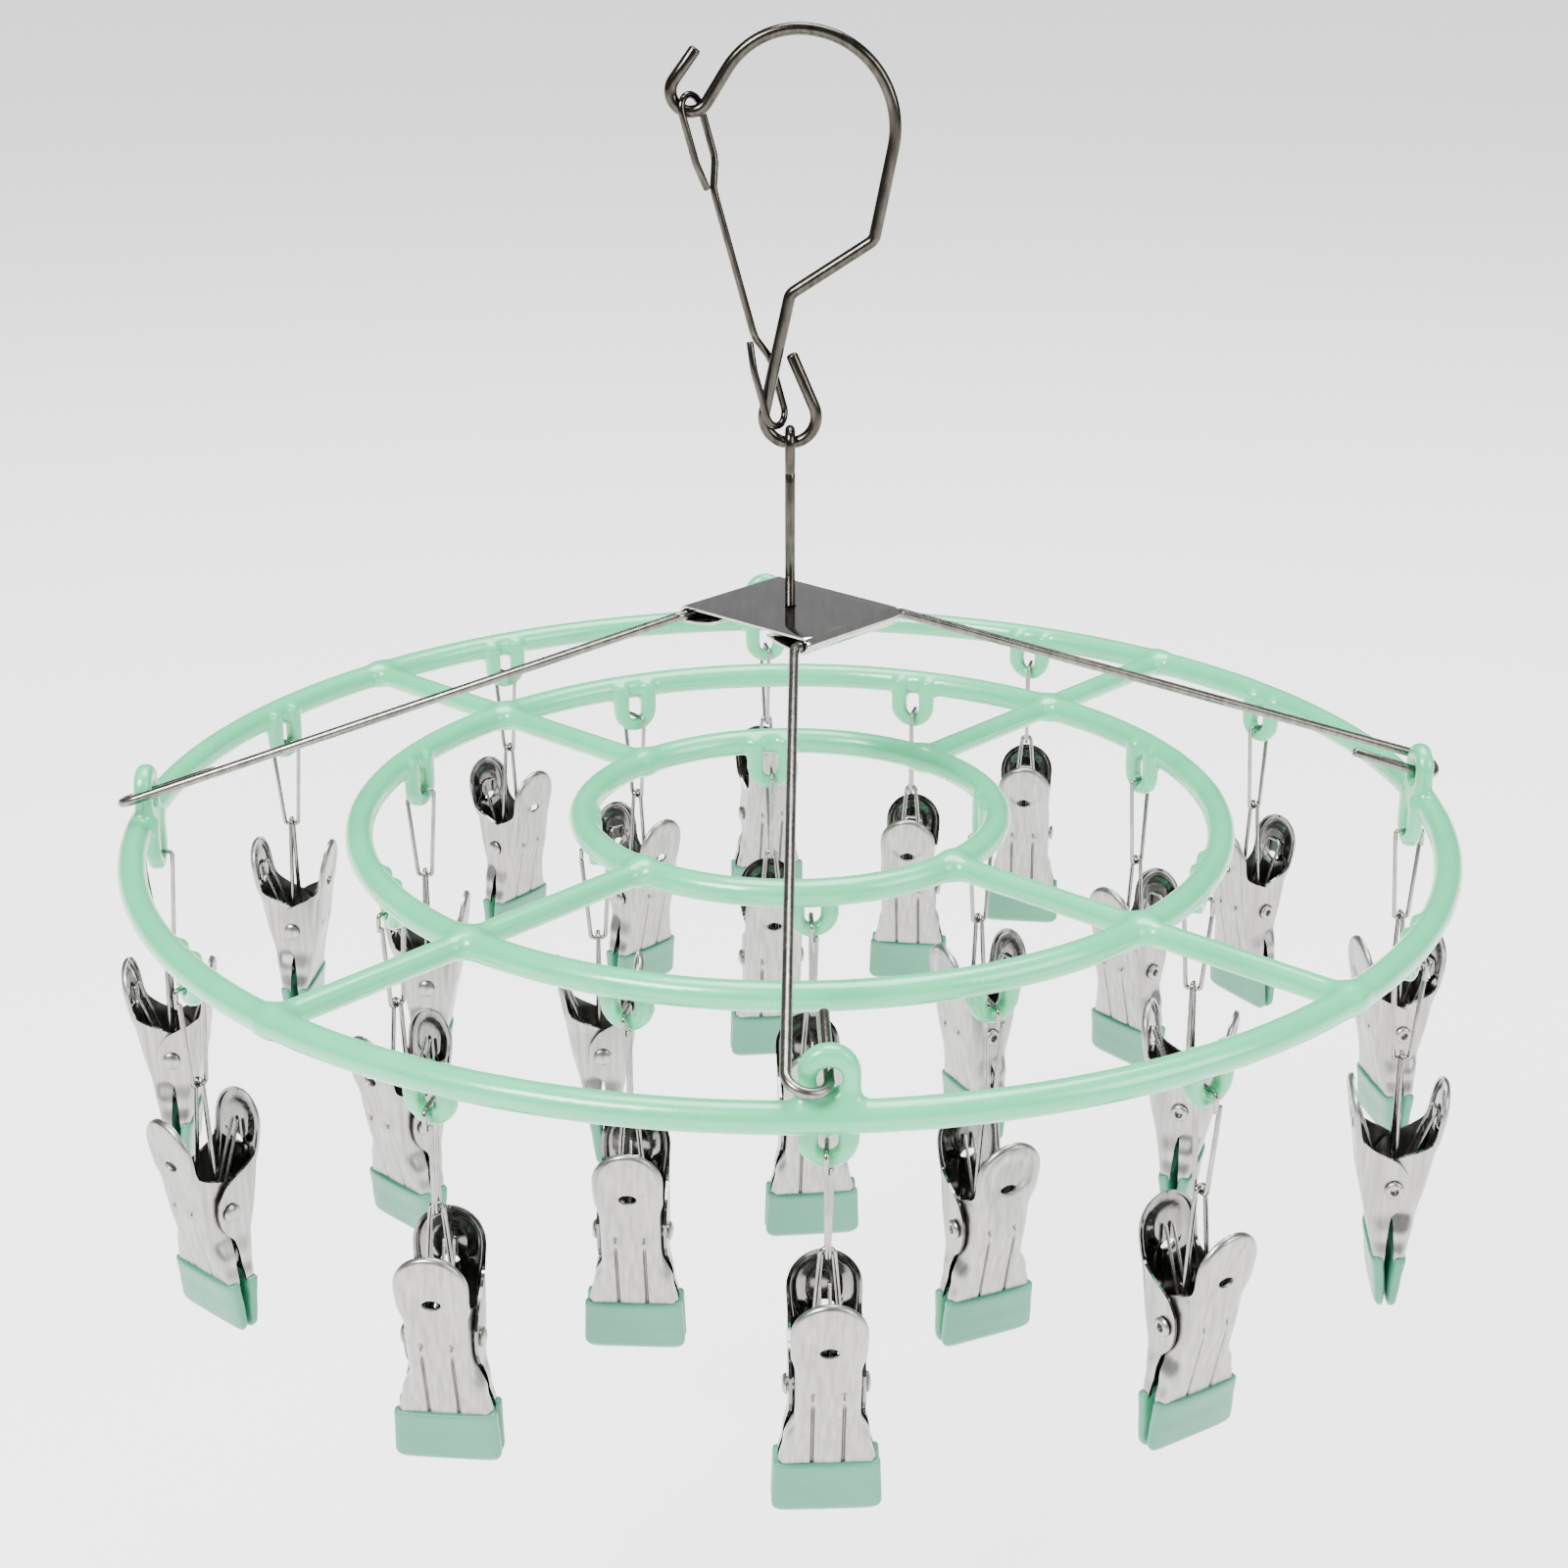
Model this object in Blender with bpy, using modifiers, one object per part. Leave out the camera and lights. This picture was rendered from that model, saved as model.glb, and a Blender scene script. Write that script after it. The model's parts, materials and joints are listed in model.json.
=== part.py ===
"""Round clip drying hanger: three moulded rings of spring clips under a wire hook.

Metres, +Z up. The origin is the rail seat, the point inside the top of the hook that bears
on a rail, straight above the centre of the rings. +X is to the right, -Y is the front.
Heights in the constants are measured from the plane of the rings, unless they say otherwise.
"""

import math

import bmesh
import bpy
from mathutils import Matrix, Vector

MM = 0.001
GAP = 0.3 * MM  # clearance kept between pieces that touch on the real object

# Ring frame
RING_RADIUS = 166.5 * MM  # centre line of the outer ring
MIDDLE_RADIUS = 0.665 * RING_RADIUS
INNER_RADIUS = 0.3225 * RING_RADIUS
TUBE_RADIUS = 3.5 * MM
SPOKE_RADIUS = 3.0 * MM
SPOKES = 4
FRAME_TURN = math.radians(2.7)  # the frame stands turned a little on its stem
TUBE_SIDES = 8
TUBE_STEP = 17 * MM  # length of one facet along a ring

# Lugs on the inner side of the rings, which carry the clips: each is a U of two legs
LUG_INSET = 3.0 * MM  # from a ring's centre line to the middle of its lugs
LUG_HALF_WIDTH = 6.4 * MM
LUG_TOP = 2.0 * MM
LUG_BOTTOM = -12.6 * MM
LUG_THICKNESS = 4.0 * MM
SLOT_HALF_WIDTH = 2.0 * MM
SLOT_BOTTOM = -9.3 * MM

# Anchor lugs on top of the outer ring, which hold the support wires
ANCHOR_RADIUS = RING_RADIUS - 1.6 * MM
ANCHOR_HALF_WIDTH = 6.5 * MM
ANCHOR_ROOT = 0.3 * MM
ANCHOR_TOP = 15.6 * MM
ANCHOR_THICKNESS = 4.5 * MM
ANCHOR_HOLE_HEIGHT = 8.0 * MM
ANCHOR_HOLE_HALF_WIDTH = 2.4 * MM
ANCHOR_HOLE_HALF_HEIGHT = 2.7 * MM

# Top plate: a rectangle of sheet, its two long edges rolled under into hems
PLATE_TOP = 55.7 * MM
PLATE_SHEET = 0.8 * MM
PLATE_LENGTH = 35.0 * MM  # along the hems
HEM_OFFSET = 19.5 * MM  # from the plate's centre line to a hem's centre line
HEM_RADIUS = 1.9 * MM  # of the sheet's middle, round the wire
HEM_FLAP_END = 8.0 * MM  # where the rolled edge ends, from the plate's centre line
HEM_TURN = FRAME_TURN + math.pi / SPOKES  # the hems run along this azimuth
STEM_HOLE_RADIUS = 1.75 * MM

# Wires
HOOK_WIRE = 1.5 * MM
STEM_WIRE = 1.3 * MM
SUPPORT_WIRE = 1.2 * MM
LATCH_WIRE = 0.9 * MM
LINK_WIRE = 0.6 * MM
SPRING_WIRE = 0.55 * MM

# Hook, in the XZ plane
HOOK_TOP = 195.4 * MM
HOOK_CENTRE_X = 2.0 * MM  # the top bend's centre, a little to the right of the stem
HOOK_LEFT_BEND = 19.9 * MM
HOOK_RIGHT_BEND = 22.8 * MM
TIP_CENTRE = (-23.4 * MM, 181.2 * MM)
TIP_BEND = 4.6 * MM
TIP_END = (-21.9 * MM, 191.0 * MM)
HOOK_SHOULDER = (20.1 * MM, 146.8 * MM)
HOOK_NECK = (0.0, 133.9 * MM)
HOOK_CORNER = 3.0 * MM
CURL_HEIGHT = 103.9 * MM  # centre of the bottom curl, on the stem's axis
CURL_BEND = 6.4 * MM
CURL_TAIL = 14.2 * MM

# Latch: a straight wire with a hairpin at each end
LATCH_BOTTOM = Vector((-2.7 * MM, 0, 101.9 * MM))
LATCH_TOP = Vector((-24.1 * MM, 0, 180.4 * MM))
LATCH_TURN = math.radians(52)  # the hairpins' plane is turned from the hook's by this
LATCH_HALF_WIDTH = 3.5 * MM
LATCH_STRAIGHT = 15.0 * MM  # the hairpin's two strands are parallel this far
LATCH_HAIRPIN = 22.0 * MM  # to the free end

# Stem
EYE_RADIUS = 3.2 * MM
EYE_TAIL_END = 90.5 * MM
STEM_HEAD_RADIUS = 3.0 * MM
STEM_HEAD_HEIGHT = 1.4 * MM

# Support wires
HAIRPIN_RADIUS = 4.5 * MM
HAIRPIN_REACH = 0.6 * MM  # from an anchor's middle out to where the wire starts to turn
HAIRPIN_TILT = math.radians(13)  # the strand beside the anchor is higher than the one in it
HAIRPIN_TAIL = 19.0 * MM
SUPPORT_CORNER = 2.5 * MM

# Clip, measured from its rivet: X along the rivet, Y out through jaw a, Z up
LINK_HEIGHT = -8.2 * MM  # of the upper link's top wire, from the plane of the rings
RIVET_DROP = 56.3 * MM  # from that wire to the rivet
UPPER_LINK_DROP = 25.3 * MM
UPPER_LINK_TOP_HALF = 3.7 * MM
UPPER_LINK_BOTTOM_HALF = 1.9 * MM
LOWER_LINK_TOP_HALF = 1.4 * MM
LOWER_LINK_BOTTOM_HALF = 3.7 * MM
JAW_SHEET = 0.7 * MM
JAW_TOP = 25.5 * MM
THUMB_RADIUS = 7.8 * MM
WAIST_HALF = 8.2 * MM
TIP_TOP = -18.0 * MM
TIP_BOTTOM = -31.0 * MM
TIP_METAL_HALF = 10.0 * MM
TIP_METAL_END = -29.5 * MM
TIP_HALF_TOP = 11.4 * MM
TIP_HALF_BOTTOM = 12.0 * MM
TIP_FACE = 0.15 * MM  # from the clip's middle to a closed tip
RIVET_RADIUS = 1.5 * MM
RIVET_HEAD_RADIUS = 2.3 * MM
RIVET_HALF = 9.4 * MM
CHEEK_A = 6.6 * MM  # middle of jaw a's cheeks, inside jaw b's
CHEEK_B = 7.8 * MM
CHEEK_SHEET = 0.8 * MM
CHEEK_HOLE = 1.9 * MM
CHEEK_REACH = 3.6 * MM  # of a cheek's round end, from the rivet's axis
SPRING_COIL = 2.7 * MM
SPRING_TURNS = 3.5
SPRING_PITCH = 1.2 * MM
SPRING_LEG = 16.0 * MM
SPRING_LEAN = math.radians(21)  # of each leg from upright

# The rings: name, radius, number of clips, azimuth of the first lug
RINGS = (
    ("outer", RING_RADIUS, 12, FRAME_TURN),
    ("middle", MIDDLE_RADIUS, 8, FRAME_TURN + math.radians(22.5)),
    ("inner", INNER_RADIUS, 4, FRAME_TURN + math.radians(3.5)),
)
# Many clips have twisted on their links, by these angles in degrees
CLIP_TWIST = {
    ("outer", 1): 8,
    ("outer", 3): 20,
    ("outer", 4): 12,
    ("outer", 5): 20,
    ("outer", 6): 22,
    ("outer", 8): 16,
    ("outer", 9): 22,
    ("outer", 12): 22,
    ("middle", 1): 15,
    ("middle", 2): 12,
    ("middle", 3): 22,
    ("middle", 4): 18,
    ("middle", 5): 22,
    ("middle", 6): 17,
    ("inner", 1): 22,
}
DETAILED_CLIP = ("outer", 10)  # the one at the front, with every piece in its own node

RING_Z = HOOK_WIRE - HOOK_TOP  # height of the rings' plane above the origin

MINT = (0.42, 0.76, 0.60)
MINT_TIP = (0.36, 0.62, 0.50)
STEEL = (0.62, 0.60, 0.57)
DARK_STEEL = (0.40, 0.39, 0.38)


def clear_scene():
    for obj in list(bpy.data.objects):
        bpy.data.objects.remove(obj, do_unlink=True)


def new_collection(name):
    collection = bpy.data.collections.new(name)
    bpy.context.scene.collection.children.link(collection)
    return collection


def principled(name, colour, roughness, metallic):
    material = bpy.data.materials.new(name)
    material.use_nodes = True
    shader = material.node_tree.nodes["Principled BSDF"]
    shader.inputs["Base Color"].default_value = (*colour, 1)
    shader.inputs["Roughness"].default_value = roughness
    shader.inputs["Metallic"].default_value = metallic
    return material


def plastic(name, colour):
    return principled(name, colour, 0.4, 0.0)


def steel(name, colour=STEEL, roughness=0.28):
    return principled(name, colour, roughness, 1.0)


# ---------------------------------------------------------------- points and paths


def arc(centre, radius, start, end, steps):
    """Points of an arc in a plane, both ends included; angles in degrees."""
    points = []
    for i in range(steps + 1):
        angle = math.radians(start + (end - start) * i / steps)
        points.append((centre[0] + radius * math.cos(angle), centre[1] + radius * math.sin(angle)))
    return points


def rounded(points, radius, steps=3):
    """The path with each inner corner replaced by an arc of the radius."""
    path = [points[0].copy()]
    for before, corner, after in zip(points, points[1:], points[2:]):
        into = (corner - before).normalized()
        out = (after - corner).normalized()
        turn = into.angle(out)
        reach = radius * math.tan(turn / 2)
        side = (out - into).normalized()
        centre = corner + side * (radius / math.cos(turn / 2))
        first = corner - into * reach
        axis = into.cross(out).normalized()
        for i in range(steps + 1):
            spin = Matrix.Rotation(turn * i / steps, 3, axis)
            path.append(centre + spin @ (first - centre))
    path.append(points[-1].copy())
    return path


def radial(azimuth):
    return Vector((math.cos(azimuth), math.sin(azimuth), 0))


def tangential(azimuth):
    return Vector((-math.sin(azimuth), math.cos(azimuth), 0))


def upright(x, z):
    return Vector((x, 0, z))


# ---------------------------------------------------------------- mesh building


def mesh_of(obj, weld=0.0):
    """The evaluated mesh of an object, in world space; the object is removed."""
    bpy.context.scene.collection.objects.link(obj)
    depsgraph = bpy.context.evaluated_depsgraph_get()
    mesh = bpy.data.meshes.new_from_object(obj.evaluated_get(depsgraph))
    mesh.transform(obj.matrix_world)
    if weld:
        shape = bmesh.new()
        shape.from_mesh(mesh)
        bmesh.ops.remove_doubles(shape, verts=shape.verts, dist=weld)
        shape.to_mesh(mesh)
        shape.free()
    bpy.data.objects.remove(obj, do_unlink=True)
    return mesh


def wire_mesh(points, radius, resolution=2, closed=False):
    """A round wire along the points."""
    curve = bpy.data.curves.new("wire", "CURVE")
    curve.dimensions = "3D"
    curve.bevel_depth = radius
    curve.bevel_resolution = resolution
    curve.use_fill_caps = not closed
    spline = curve.splines.new("POLY")
    spline.points.add(len(points) - 1)
    for point, place in zip(spline.points, points):
        point.co = (*place, 1)
    spline.use_cyclic_u = closed
    return mesh_of(bpy.data.objects.new("wire", curve), weld=1e-7)


def outline_mesh(outline, thickness, holes=()):
    """A flat plate in XY, cut to the outline, its thickness centred on Z = 0."""
    curve = bpy.data.curves.new("outline", "CURVE")
    curve.dimensions = "2D"
    curve.fill_mode = "BOTH"
    curve.extrude = thickness / 2
    for loop in (outline, *holes):
        spline = curve.splines.new("POLY")
        spline.points.add(len(loop) - 1)
        for point, (x, y) in zip(spline.points, loop):
            point.co = (x, y, 0, 1)
        spline.use_cyclic_u = True
    return mesh_of(bpy.data.objects.new("outline", curve), weld=1e-7)


def cylinder_mesh(radius, length, sides):
    """A cylinder along Z, centred."""
    shape = bmesh.new()
    bmesh.ops.create_cone(
        shape,
        cap_ends=True,
        segments=sides,
        radius1=radius,
        radius2=radius,
        depth=length,
    )
    mesh = bpy.data.meshes.new("cylinder")
    shape.to_mesh(mesh)
    shape.free()
    return mesh


def torus_mesh(major, minor, around, sides):
    bpy.ops.mesh.primitive_torus_add(
        major_radius=major,
        minor_radius=minor,
        major_segments=around,
        minor_segments=sides,
    )
    obj = bpy.context.object
    for holder in list(obj.users_collection):
        holder.objects.unlink(obj)
    return mesh_of(obj)


def sheet_mesh(rows, thickness):
    """A bent sheet from rows of points, thickened by the same amount on both sides."""
    shape = bmesh.new()
    grid = [[shape.verts.new(point) for point in row] for row in rows]
    for lower, upper in zip(grid, grid[1:]):
        for i in range(len(lower) - 1):
            shape.faces.new((lower[i], lower[i + 1], upper[i + 1], upper[i]))
    mesh = bpy.data.meshes.new("sheet")
    shape.to_mesh(mesh)
    shape.free()
    obj = bpy.data.objects.new("sheet", mesh)
    solid = obj.modifiers.new("thickness", "SOLIDIFY")
    solid.thickness = thickness
    solid.offset = 0
    solid.use_even_offset = True
    return mesh_of(obj)


def gathered(parts):
    """One mesh of separate solids, each given as a mesh and the matrix that places it."""
    shape = bmesh.new()
    for mesh, matrix in parts:
        copy = mesh.copy()
        copy.transform(matrix)
        shape.from_mesh(copy)
        bpy.data.meshes.remove(copy)
    whole = bpy.data.meshes.new("gathered")
    shape.to_mesh(whole)
    shape.free()
    return whole


def joined(meshes, operation="UNION"):
    """The first mesh with each of the others added to it, or cut from it."""
    base = bpy.data.objects.new("base", meshes[0])
    tools = []
    for mesh in meshes[1:]:
        tool = bpy.data.objects.new("tool", mesh)
        tool.hide_render = True
        tool.display_type = "WIRE"
        CUTTERS.objects.link(tool)
        tools.append(tool)
        boolean = base.modifiers.new("boolean", "BOOLEAN")
        boolean.operation = operation
        boolean.solver = "EXACT"
        boolean.object = tool
    result = mesh_of(base, weld=1e-7)
    for tool in tools:
        bpy.data.objects.remove(tool, do_unlink=True)
    return result


def add_part(name, mesh, material, origin=(0, 0, 0), turn=0.0, move_mesh=True):
    """A named object of the hanger, its origin on its joint, given from the rings' plane."""
    if move_mesh:
        mesh.transform(Matrix.Translation(-Vector(origin)))
    obj = bpy.data.objects.new(name, mesh)
    obj.location = Vector(origin) + Vector((0, 0, RING_Z))
    obj.rotation_euler = (0, 0, turn)
    if not mesh.materials:
        mesh.materials.append(material)
        mesh.shade_smooth()
        mesh.set_sharp_from_angle(angle=math.radians(35))
    PARTS.objects.link(obj)
    return obj


# ---------------------------------------------------------------- hook, latch and stem


def tangent_point(centre, radius, angle):
    angle = math.radians(angle)
    return Vector((centre[0] + radius * math.cos(angle), centre[1] + radius * math.sin(angle)))


def make_hook():
    """The hook's wire, from its tip over the rail bend and down to the open curl."""
    rise = 57.5  # direction of the short straight between the tip's bend and the top bend
    left = (HOOK_CENTRE_X, HOOK_TOP - HOOK_LEFT_BEND)
    right = (HOOK_CENTRE_X, HOOK_TOP - HOOK_RIGHT_BEND)
    back_of_hook = -11.2  # angle on the right bend where the wire runs straight down
    neck_angle = 167.4
    curl_end = 23.2
    curl = (0.0, CURL_HEIGHT)
    path = [TIP_END]
    path += arc(TIP_CENTRE, TIP_BEND, 144.6, 270 + rise, 7)
    path += arc(left, HOOK_LEFT_BEND, 90 + rise, 90, 4)
    path += arc(right, HOOK_RIGHT_BEND, 90, back_of_hook, 8)[1:]
    corners = [
        upright(*path[-1]),
        upright(*HOOK_SHOULDER),
        upright(*HOOK_NECK),
        upright(*tangent_point(curl, CURL_BEND, neck_angle)),
    ]
    wire = [upright(*p) for p in path[:-1]] + rounded(corners, HOOK_CORNER)[:-1]
    wire += [upright(*p) for p in arc(curl, CURL_BEND, neck_angle, 360 + curl_end, 8)]
    along = math.radians(90 + curl_end)
    wire.append(wire[-1] + upright(math.cos(along), math.sin(along)) * CURL_TAIL)
    mesh = wire_mesh(wire, HOOK_WIRE)
    return add_part("hook", mesh, steel("hook_wire"), (0, 0, -RING_Z))


def hairpin(end, along, across):
    """Half of the latch: its hairpin, from the free end round to the straight shaft."""
    half = LATCH_HALF_WIDTH
    beside = 2 * LATCH_WIRE + GAP
    plan = [(LATCH_HAIRPIN, -beside), (LATCH_STRAIGHT, -half)]
    plan += arc((half, 0), half, 270, 90, 6)
    plan += [(LATCH_STRAIGHT, half), (LATCH_HAIRPIN + 2 * MM, 0)]
    return [end + along * x + across * y for x, y in plan]


def make_latch():
    """The latch hangs on the hook's tip by one hairpin and straddles its neck by the other."""
    along = (LATCH_TOP - LATCH_BOTTOM).normalized()
    flat = Vector((along.z, 0, -along.x))
    across = flat * math.cos(LATCH_TURN) + Vector((0, 1, 0)) * math.sin(LATCH_TURN)
    lower = hairpin(LATCH_BOTTOM, along, across)
    upper = hairpin(LATCH_TOP, -along, across)
    mesh = wire_mesh(lower + upper[::-1], LATCH_WIRE)
    return add_part("latch", mesh, steel("latch_wire"), LATCH_BOTTOM)


def make_stem():
    """A straight wire with an eye round the hook's curl and an upset head under the plate."""
    eye_centre = CURL_HEIGHT - CURL_BEND - 0.1 * MM
    plan = [(0, PLATE_TOP - 4 * MM), (0, EYE_TAIL_END - 3 * MM)]
    plan.append((EYE_RADIUS * 0.9, EYE_TAIL_END + 3.5 * MM))
    plan += arc((0, eye_centre), EYE_RADIUS, 0, 180, 8)
    plan += [(-EYE_RADIUS, EYE_TAIL_END + 3 * MM), (-EYE_RADIUS * 0.85, EYE_TAIL_END)]
    wire = wire_mesh([Vector((0, y, z)) for y, z in plan], STEM_WIRE)
    head = cylinder_mesh(STEM_HEAD_RADIUS, STEM_HEAD_HEIGHT, 12)
    top_of_head = PLATE_TOP - PLATE_SHEET - GAP
    head.transform(Matrix.Translation((0, 0, top_of_head - STEM_HEAD_HEIGHT / 2)))
    mesh = joined([wire, head])
    return add_part("stem", mesh, steel("stem_wire"), (0, 0, CURL_HEIGHT - CURL_BEND))


# ---------------------------------------------------------------- top plate and support wires


def plate_profile():
    """The sheet's middle line across the hems, from one rolled edge to the other."""
    middle = PLATE_TOP - PLATE_SHEET / 2
    centre = (HEM_OFFSET, middle - HEM_RADIUS)
    flap = (HEM_FLAP_END, PLATE_TOP - PLATE_SHEET - GAP - PLATE_SHEET)
    half = [(0.0, middle)] + arc(centre, HEM_RADIUS, 90, -90, 6)
    half += [(0.6 * HEM_OFFSET, centre[1] - 0.5 * HEM_RADIUS), flap]
    other = [(-w, z) for w, z in half[:0:-1]]
    return other + half


def make_top_plate():
    along = radial(HEM_TURN)
    across = radial(HEM_TURN - math.pi / 2)
    rows = []
    for end in (-0.5, 0.5):
        start = along * (end * PLATE_LENGTH)
        rows.append([start + across * w + Vector((0, 0, z)) for w, z in plate_profile()])
    sheet = sheet_mesh(rows, PLATE_SHEET)
    drill = cylinder_mesh(STEM_HOLE_RADIUS, 4 * PLATE_SHEET, 12)
    drill.transform(Matrix.Translation((0, 0, PLATE_TOP)))
    mesh = joined([sheet, drill], "DIFFERENCE")
    return add_part("top_plate", mesh, steel("plate_sheet", roughness=0.12), (0, 0, PLATE_TOP))


def anchor_hole(azimuth):
    return radial(azimuth) * ANCHOR_RADIUS + Vector((0, 0, ANCHOR_HOLE_HEIGHT))


def anchor_hairpin(corner, azimuth, side):
    """The wire from a hem's end, past the anchor on one side and back in through its hole."""
    hole = anchor_hole(azimuth)
    fall = (corner.z - hole.z) / (ANCHOR_RADIUS - corner.to_2d().length)
    along = (radial(azimuth) - Vector((0, 0, fall))).normalized()
    level = tangential(azimuth)
    lift = along.cross(level)
    across = level * (side * math.cos(HAIRPIN_TILT)) + lift * math.sin(HAIRPIN_TILT)
    turn = hole + along * HAIRPIN_REACH + across * HAIRPIN_RADIUS
    path = [turn + along * y + across * x for x, y in arc((0, 0), HAIRPIN_RADIUS, 0, 180, 8)]
    return path + [hole - along * HAIRPIN_TAIL]


def make_support_wire(name, turn):
    """One wire of the pair: through a hem, then down to the anchors at both ends."""
    along = radial(HEM_TURN + turn)
    across = radial(HEM_TURN + turn - math.pi / 2)
    height = Vector((0, 0, PLATE_TOP - PLATE_SHEET / 2 - HEM_RADIUS))
    reach = along * (PLATE_LENGTH / 2 + SUPPORT_CORNER)
    first = across * HEM_OFFSET - reach + height
    second = across * HEM_OFFSET + reach + height
    quarter = math.pi / SPOKES
    front = anchor_hairpin(first, HEM_TURN + turn - 3 * quarter, -1)
    right = anchor_hairpin(second, HEM_TURN + turn - quarter, 1)
    bends = rounded([front[0], first, second, right[0]], SUPPORT_CORNER)
    path = front[:0:-1] + bends + right[1:]
    mesh = wire_mesh(path, SUPPORT_WIRE)
    return add_part(name, mesh, steel(name), across * HEM_OFFSET + height)


# ---------------------------------------------------------------- ring frame


def lug_mesh():
    half = LUG_HALF_WIDTH
    slot = SLOT_HALF_WIDTH
    leg = (half + slot) / 2
    hump = (half - slot) / 2
    shoulder = LUG_TOP - hump
    outline = arc((leg, shoulder), hump, 0, 180, 3)
    outline += arc((0, SLOT_BOTTOM + slot), slot, 0, -180, 4)
    outline += arc((-leg, shoulder), hump, 0, 180, 3)
    outline += arc((0, LUG_BOTTOM + half), half, -180, 0, 5)
    return outline_mesh(outline, LUG_THICKNESS)


def anchor_mesh():
    half = ANCHOR_HALF_WIDTH
    outline = [(-half, ANCHOR_ROOT), (half, ANCHOR_ROOT)]
    outline += arc((0, ANCHOR_TOP - half), half, 0, 180, 6)
    low = ANCHOR_HOLE_HEIGHT - ANCHOR_HOLE_HALF_HEIGHT + ANCHOR_HOLE_HALF_WIDTH
    high = ANCHOR_HOLE_HEIGHT + ANCHOR_HOLE_HALF_HEIGHT - ANCHOR_HOLE_HALF_WIDTH
    hole = arc((0, high), ANCHOR_HOLE_HALF_WIDTH, 0, 180, 4)
    hole += arc((0, low), ANCHOR_HOLE_HALF_WIDTH, 180, 360, 4)
    return outline_mesh(outline, ANCHOR_THICKNESS, [hole])


def plate_on_ring(azimuth, radius):
    """Stands a flat outline on a ring: its X along the ring, its Y up, its Z outwards."""
    out = radial(azimuth)
    axes = Matrix((-tangential(azimuth), (0, 0, 1), out)).transposed()
    return Matrix.Translation(out * radius) @ axes.to_4x4()


def make_ring_frame():
    rings = []
    for _, radius, _, _ in RINGS:
        around = 4 * round(2 * math.pi * radius / TUBE_STEP / 4)
        rings.append((torus_mesh(radius, TUBE_RADIUS, around, TUBE_SIDES), Matrix()))
    spokes = []
    length = RING_RADIUS - INNER_RADIUS
    spoke = cylinder_mesh(SPOKE_RADIUS, length, TUBE_SIDES)
    for i in range(SPOKES):
        azimuth = HEM_TURN + i * 2 * math.pi / SPOKES
        lie = plate_on_ring(azimuth, INNER_RADIUS + length / 2)
        spokes.append((spoke, lie))
    lugs = []
    lug = lug_mesh()
    for _, radius, count, first in RINGS:
        for i in range(count):
            azimuth = first + i * 2 * math.pi / count
            lugs.append((lug, plate_on_ring(azimuth, radius - LUG_INSET)))
    anchors = []
    anchor = anchor_mesh()
    for i in range(SPOKES):
        azimuth = FRAME_TURN + i * 2 * math.pi / SPOKES
        anchors.append((anchor, plate_on_ring(azimuth, ANCHOR_RADIUS)))
    mesh = joined([gathered(group) for group in (rings, spokes, lugs, anchors)])
    across = radial(HEM_TURN - math.pi / 2)
    pivot = across * (ANCHOR_RADIUS * math.cos(math.pi / SPOKES))
    pivot.z = ANCHOR_HOLE_HEIGHT
    return add_part("ring_frame", mesh, plastic("mint_plastic", MINT), pivot)


# ---------------------------------------------------------------- clips


def jaw_line(z):
    """How far the middle of a jaw's sheet is from the clip's middle, at the height."""
    waist = 7.6 * MM
    if z > 0:
        return waist + (11.7 * MM - waist) * z / JAW_TOP
    grip = -26 * MM
    foot = 1.35 * MM
    return max(foot, waist + (foot - waist) * z / grip)


def jaw_rows(heights, columns):
    """Points of a jaw's sheet, wide at the tip, narrow at the waist and round at the thumb."""
    rows = []
    for z in heights:
        if z > JAW_TOP - THUMB_RADIUS:
            rise = (z - JAW_TOP + THUMB_RADIUS) / THUMB_RADIUS
            half = THUMB_RADIUS * math.sqrt(max(0.12, 1 - rise * rise))
        elif z > 0:
            half = WAIST_HALF
        else:
            half = WAIST_HALF + (TIP_METAL_HALF - WAIST_HALF) * min(1, z / TIP_TOP)
        rows.append([(half * (2 * i / columns - 1), jaw_line(z), z) for i in range(columns + 1)])
    return rows


def cheek_mesh(x, steps, hole_sides=0):
    """An ear of a jaw: a flat plate in the YZ plane that reaches round the rivet."""
    low = -10 * MM
    high = 9 * MM
    outline = [(jaw_line(low), low), (jaw_line(0), 0), (jaw_line(high), high)]
    outline += arc((0, 0), CHEEK_REACH, 100, 250, steps)
    hole = arc((0, 0), CHEEK_HOLE, 0, 360, hole_sides)[:-1] if hole_sides else []
    mesh = outline_mesh(outline, CHEEK_SHEET, [hole] if hole else [])
    axes = Matrix(((0, 1, 0), (0, 0, 1), (1, 0, 0))).transposed()
    mesh.transform(Matrix.Translation((x, 0, 0)) @ axes.to_4x4())
    return mesh


def tip_outline():
    """Side view of a dipped tip, as (Y, Z) points."""
    top = jaw_line(TIP_TOP) + 1.0 * MM
    return [
        (jaw_line(TIP_TOP) - 1.0 * MM, TIP_TOP),
        (top, TIP_TOP),
        (2.6 * MM, TIP_BOTTOM + 1.5 * MM),
        (1.8 * MM, TIP_BOTTOM),
        (TIP_FACE, TIP_BOTTOM + 0.6 * MM),
        (TIP_FACE, -26.5 * MM),
    ]


def tip_mesh():
    mesh = outline_mesh(tip_outline(), 2 * TIP_HALF_BOTTOM)
    axes = Matrix(((0, 1, 0), (0, 0, 1), (1, 0, 0))).transposed()
    mesh.transform(axes.to_4x4())
    taper = TIP_HALF_TOP / TIP_HALF_BOTTOM
    for vertex in mesh.vertices:
        if vertex.co.z > TIP_TOP - MM:
            vertex.co.x *= taper
    return mesh


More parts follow.
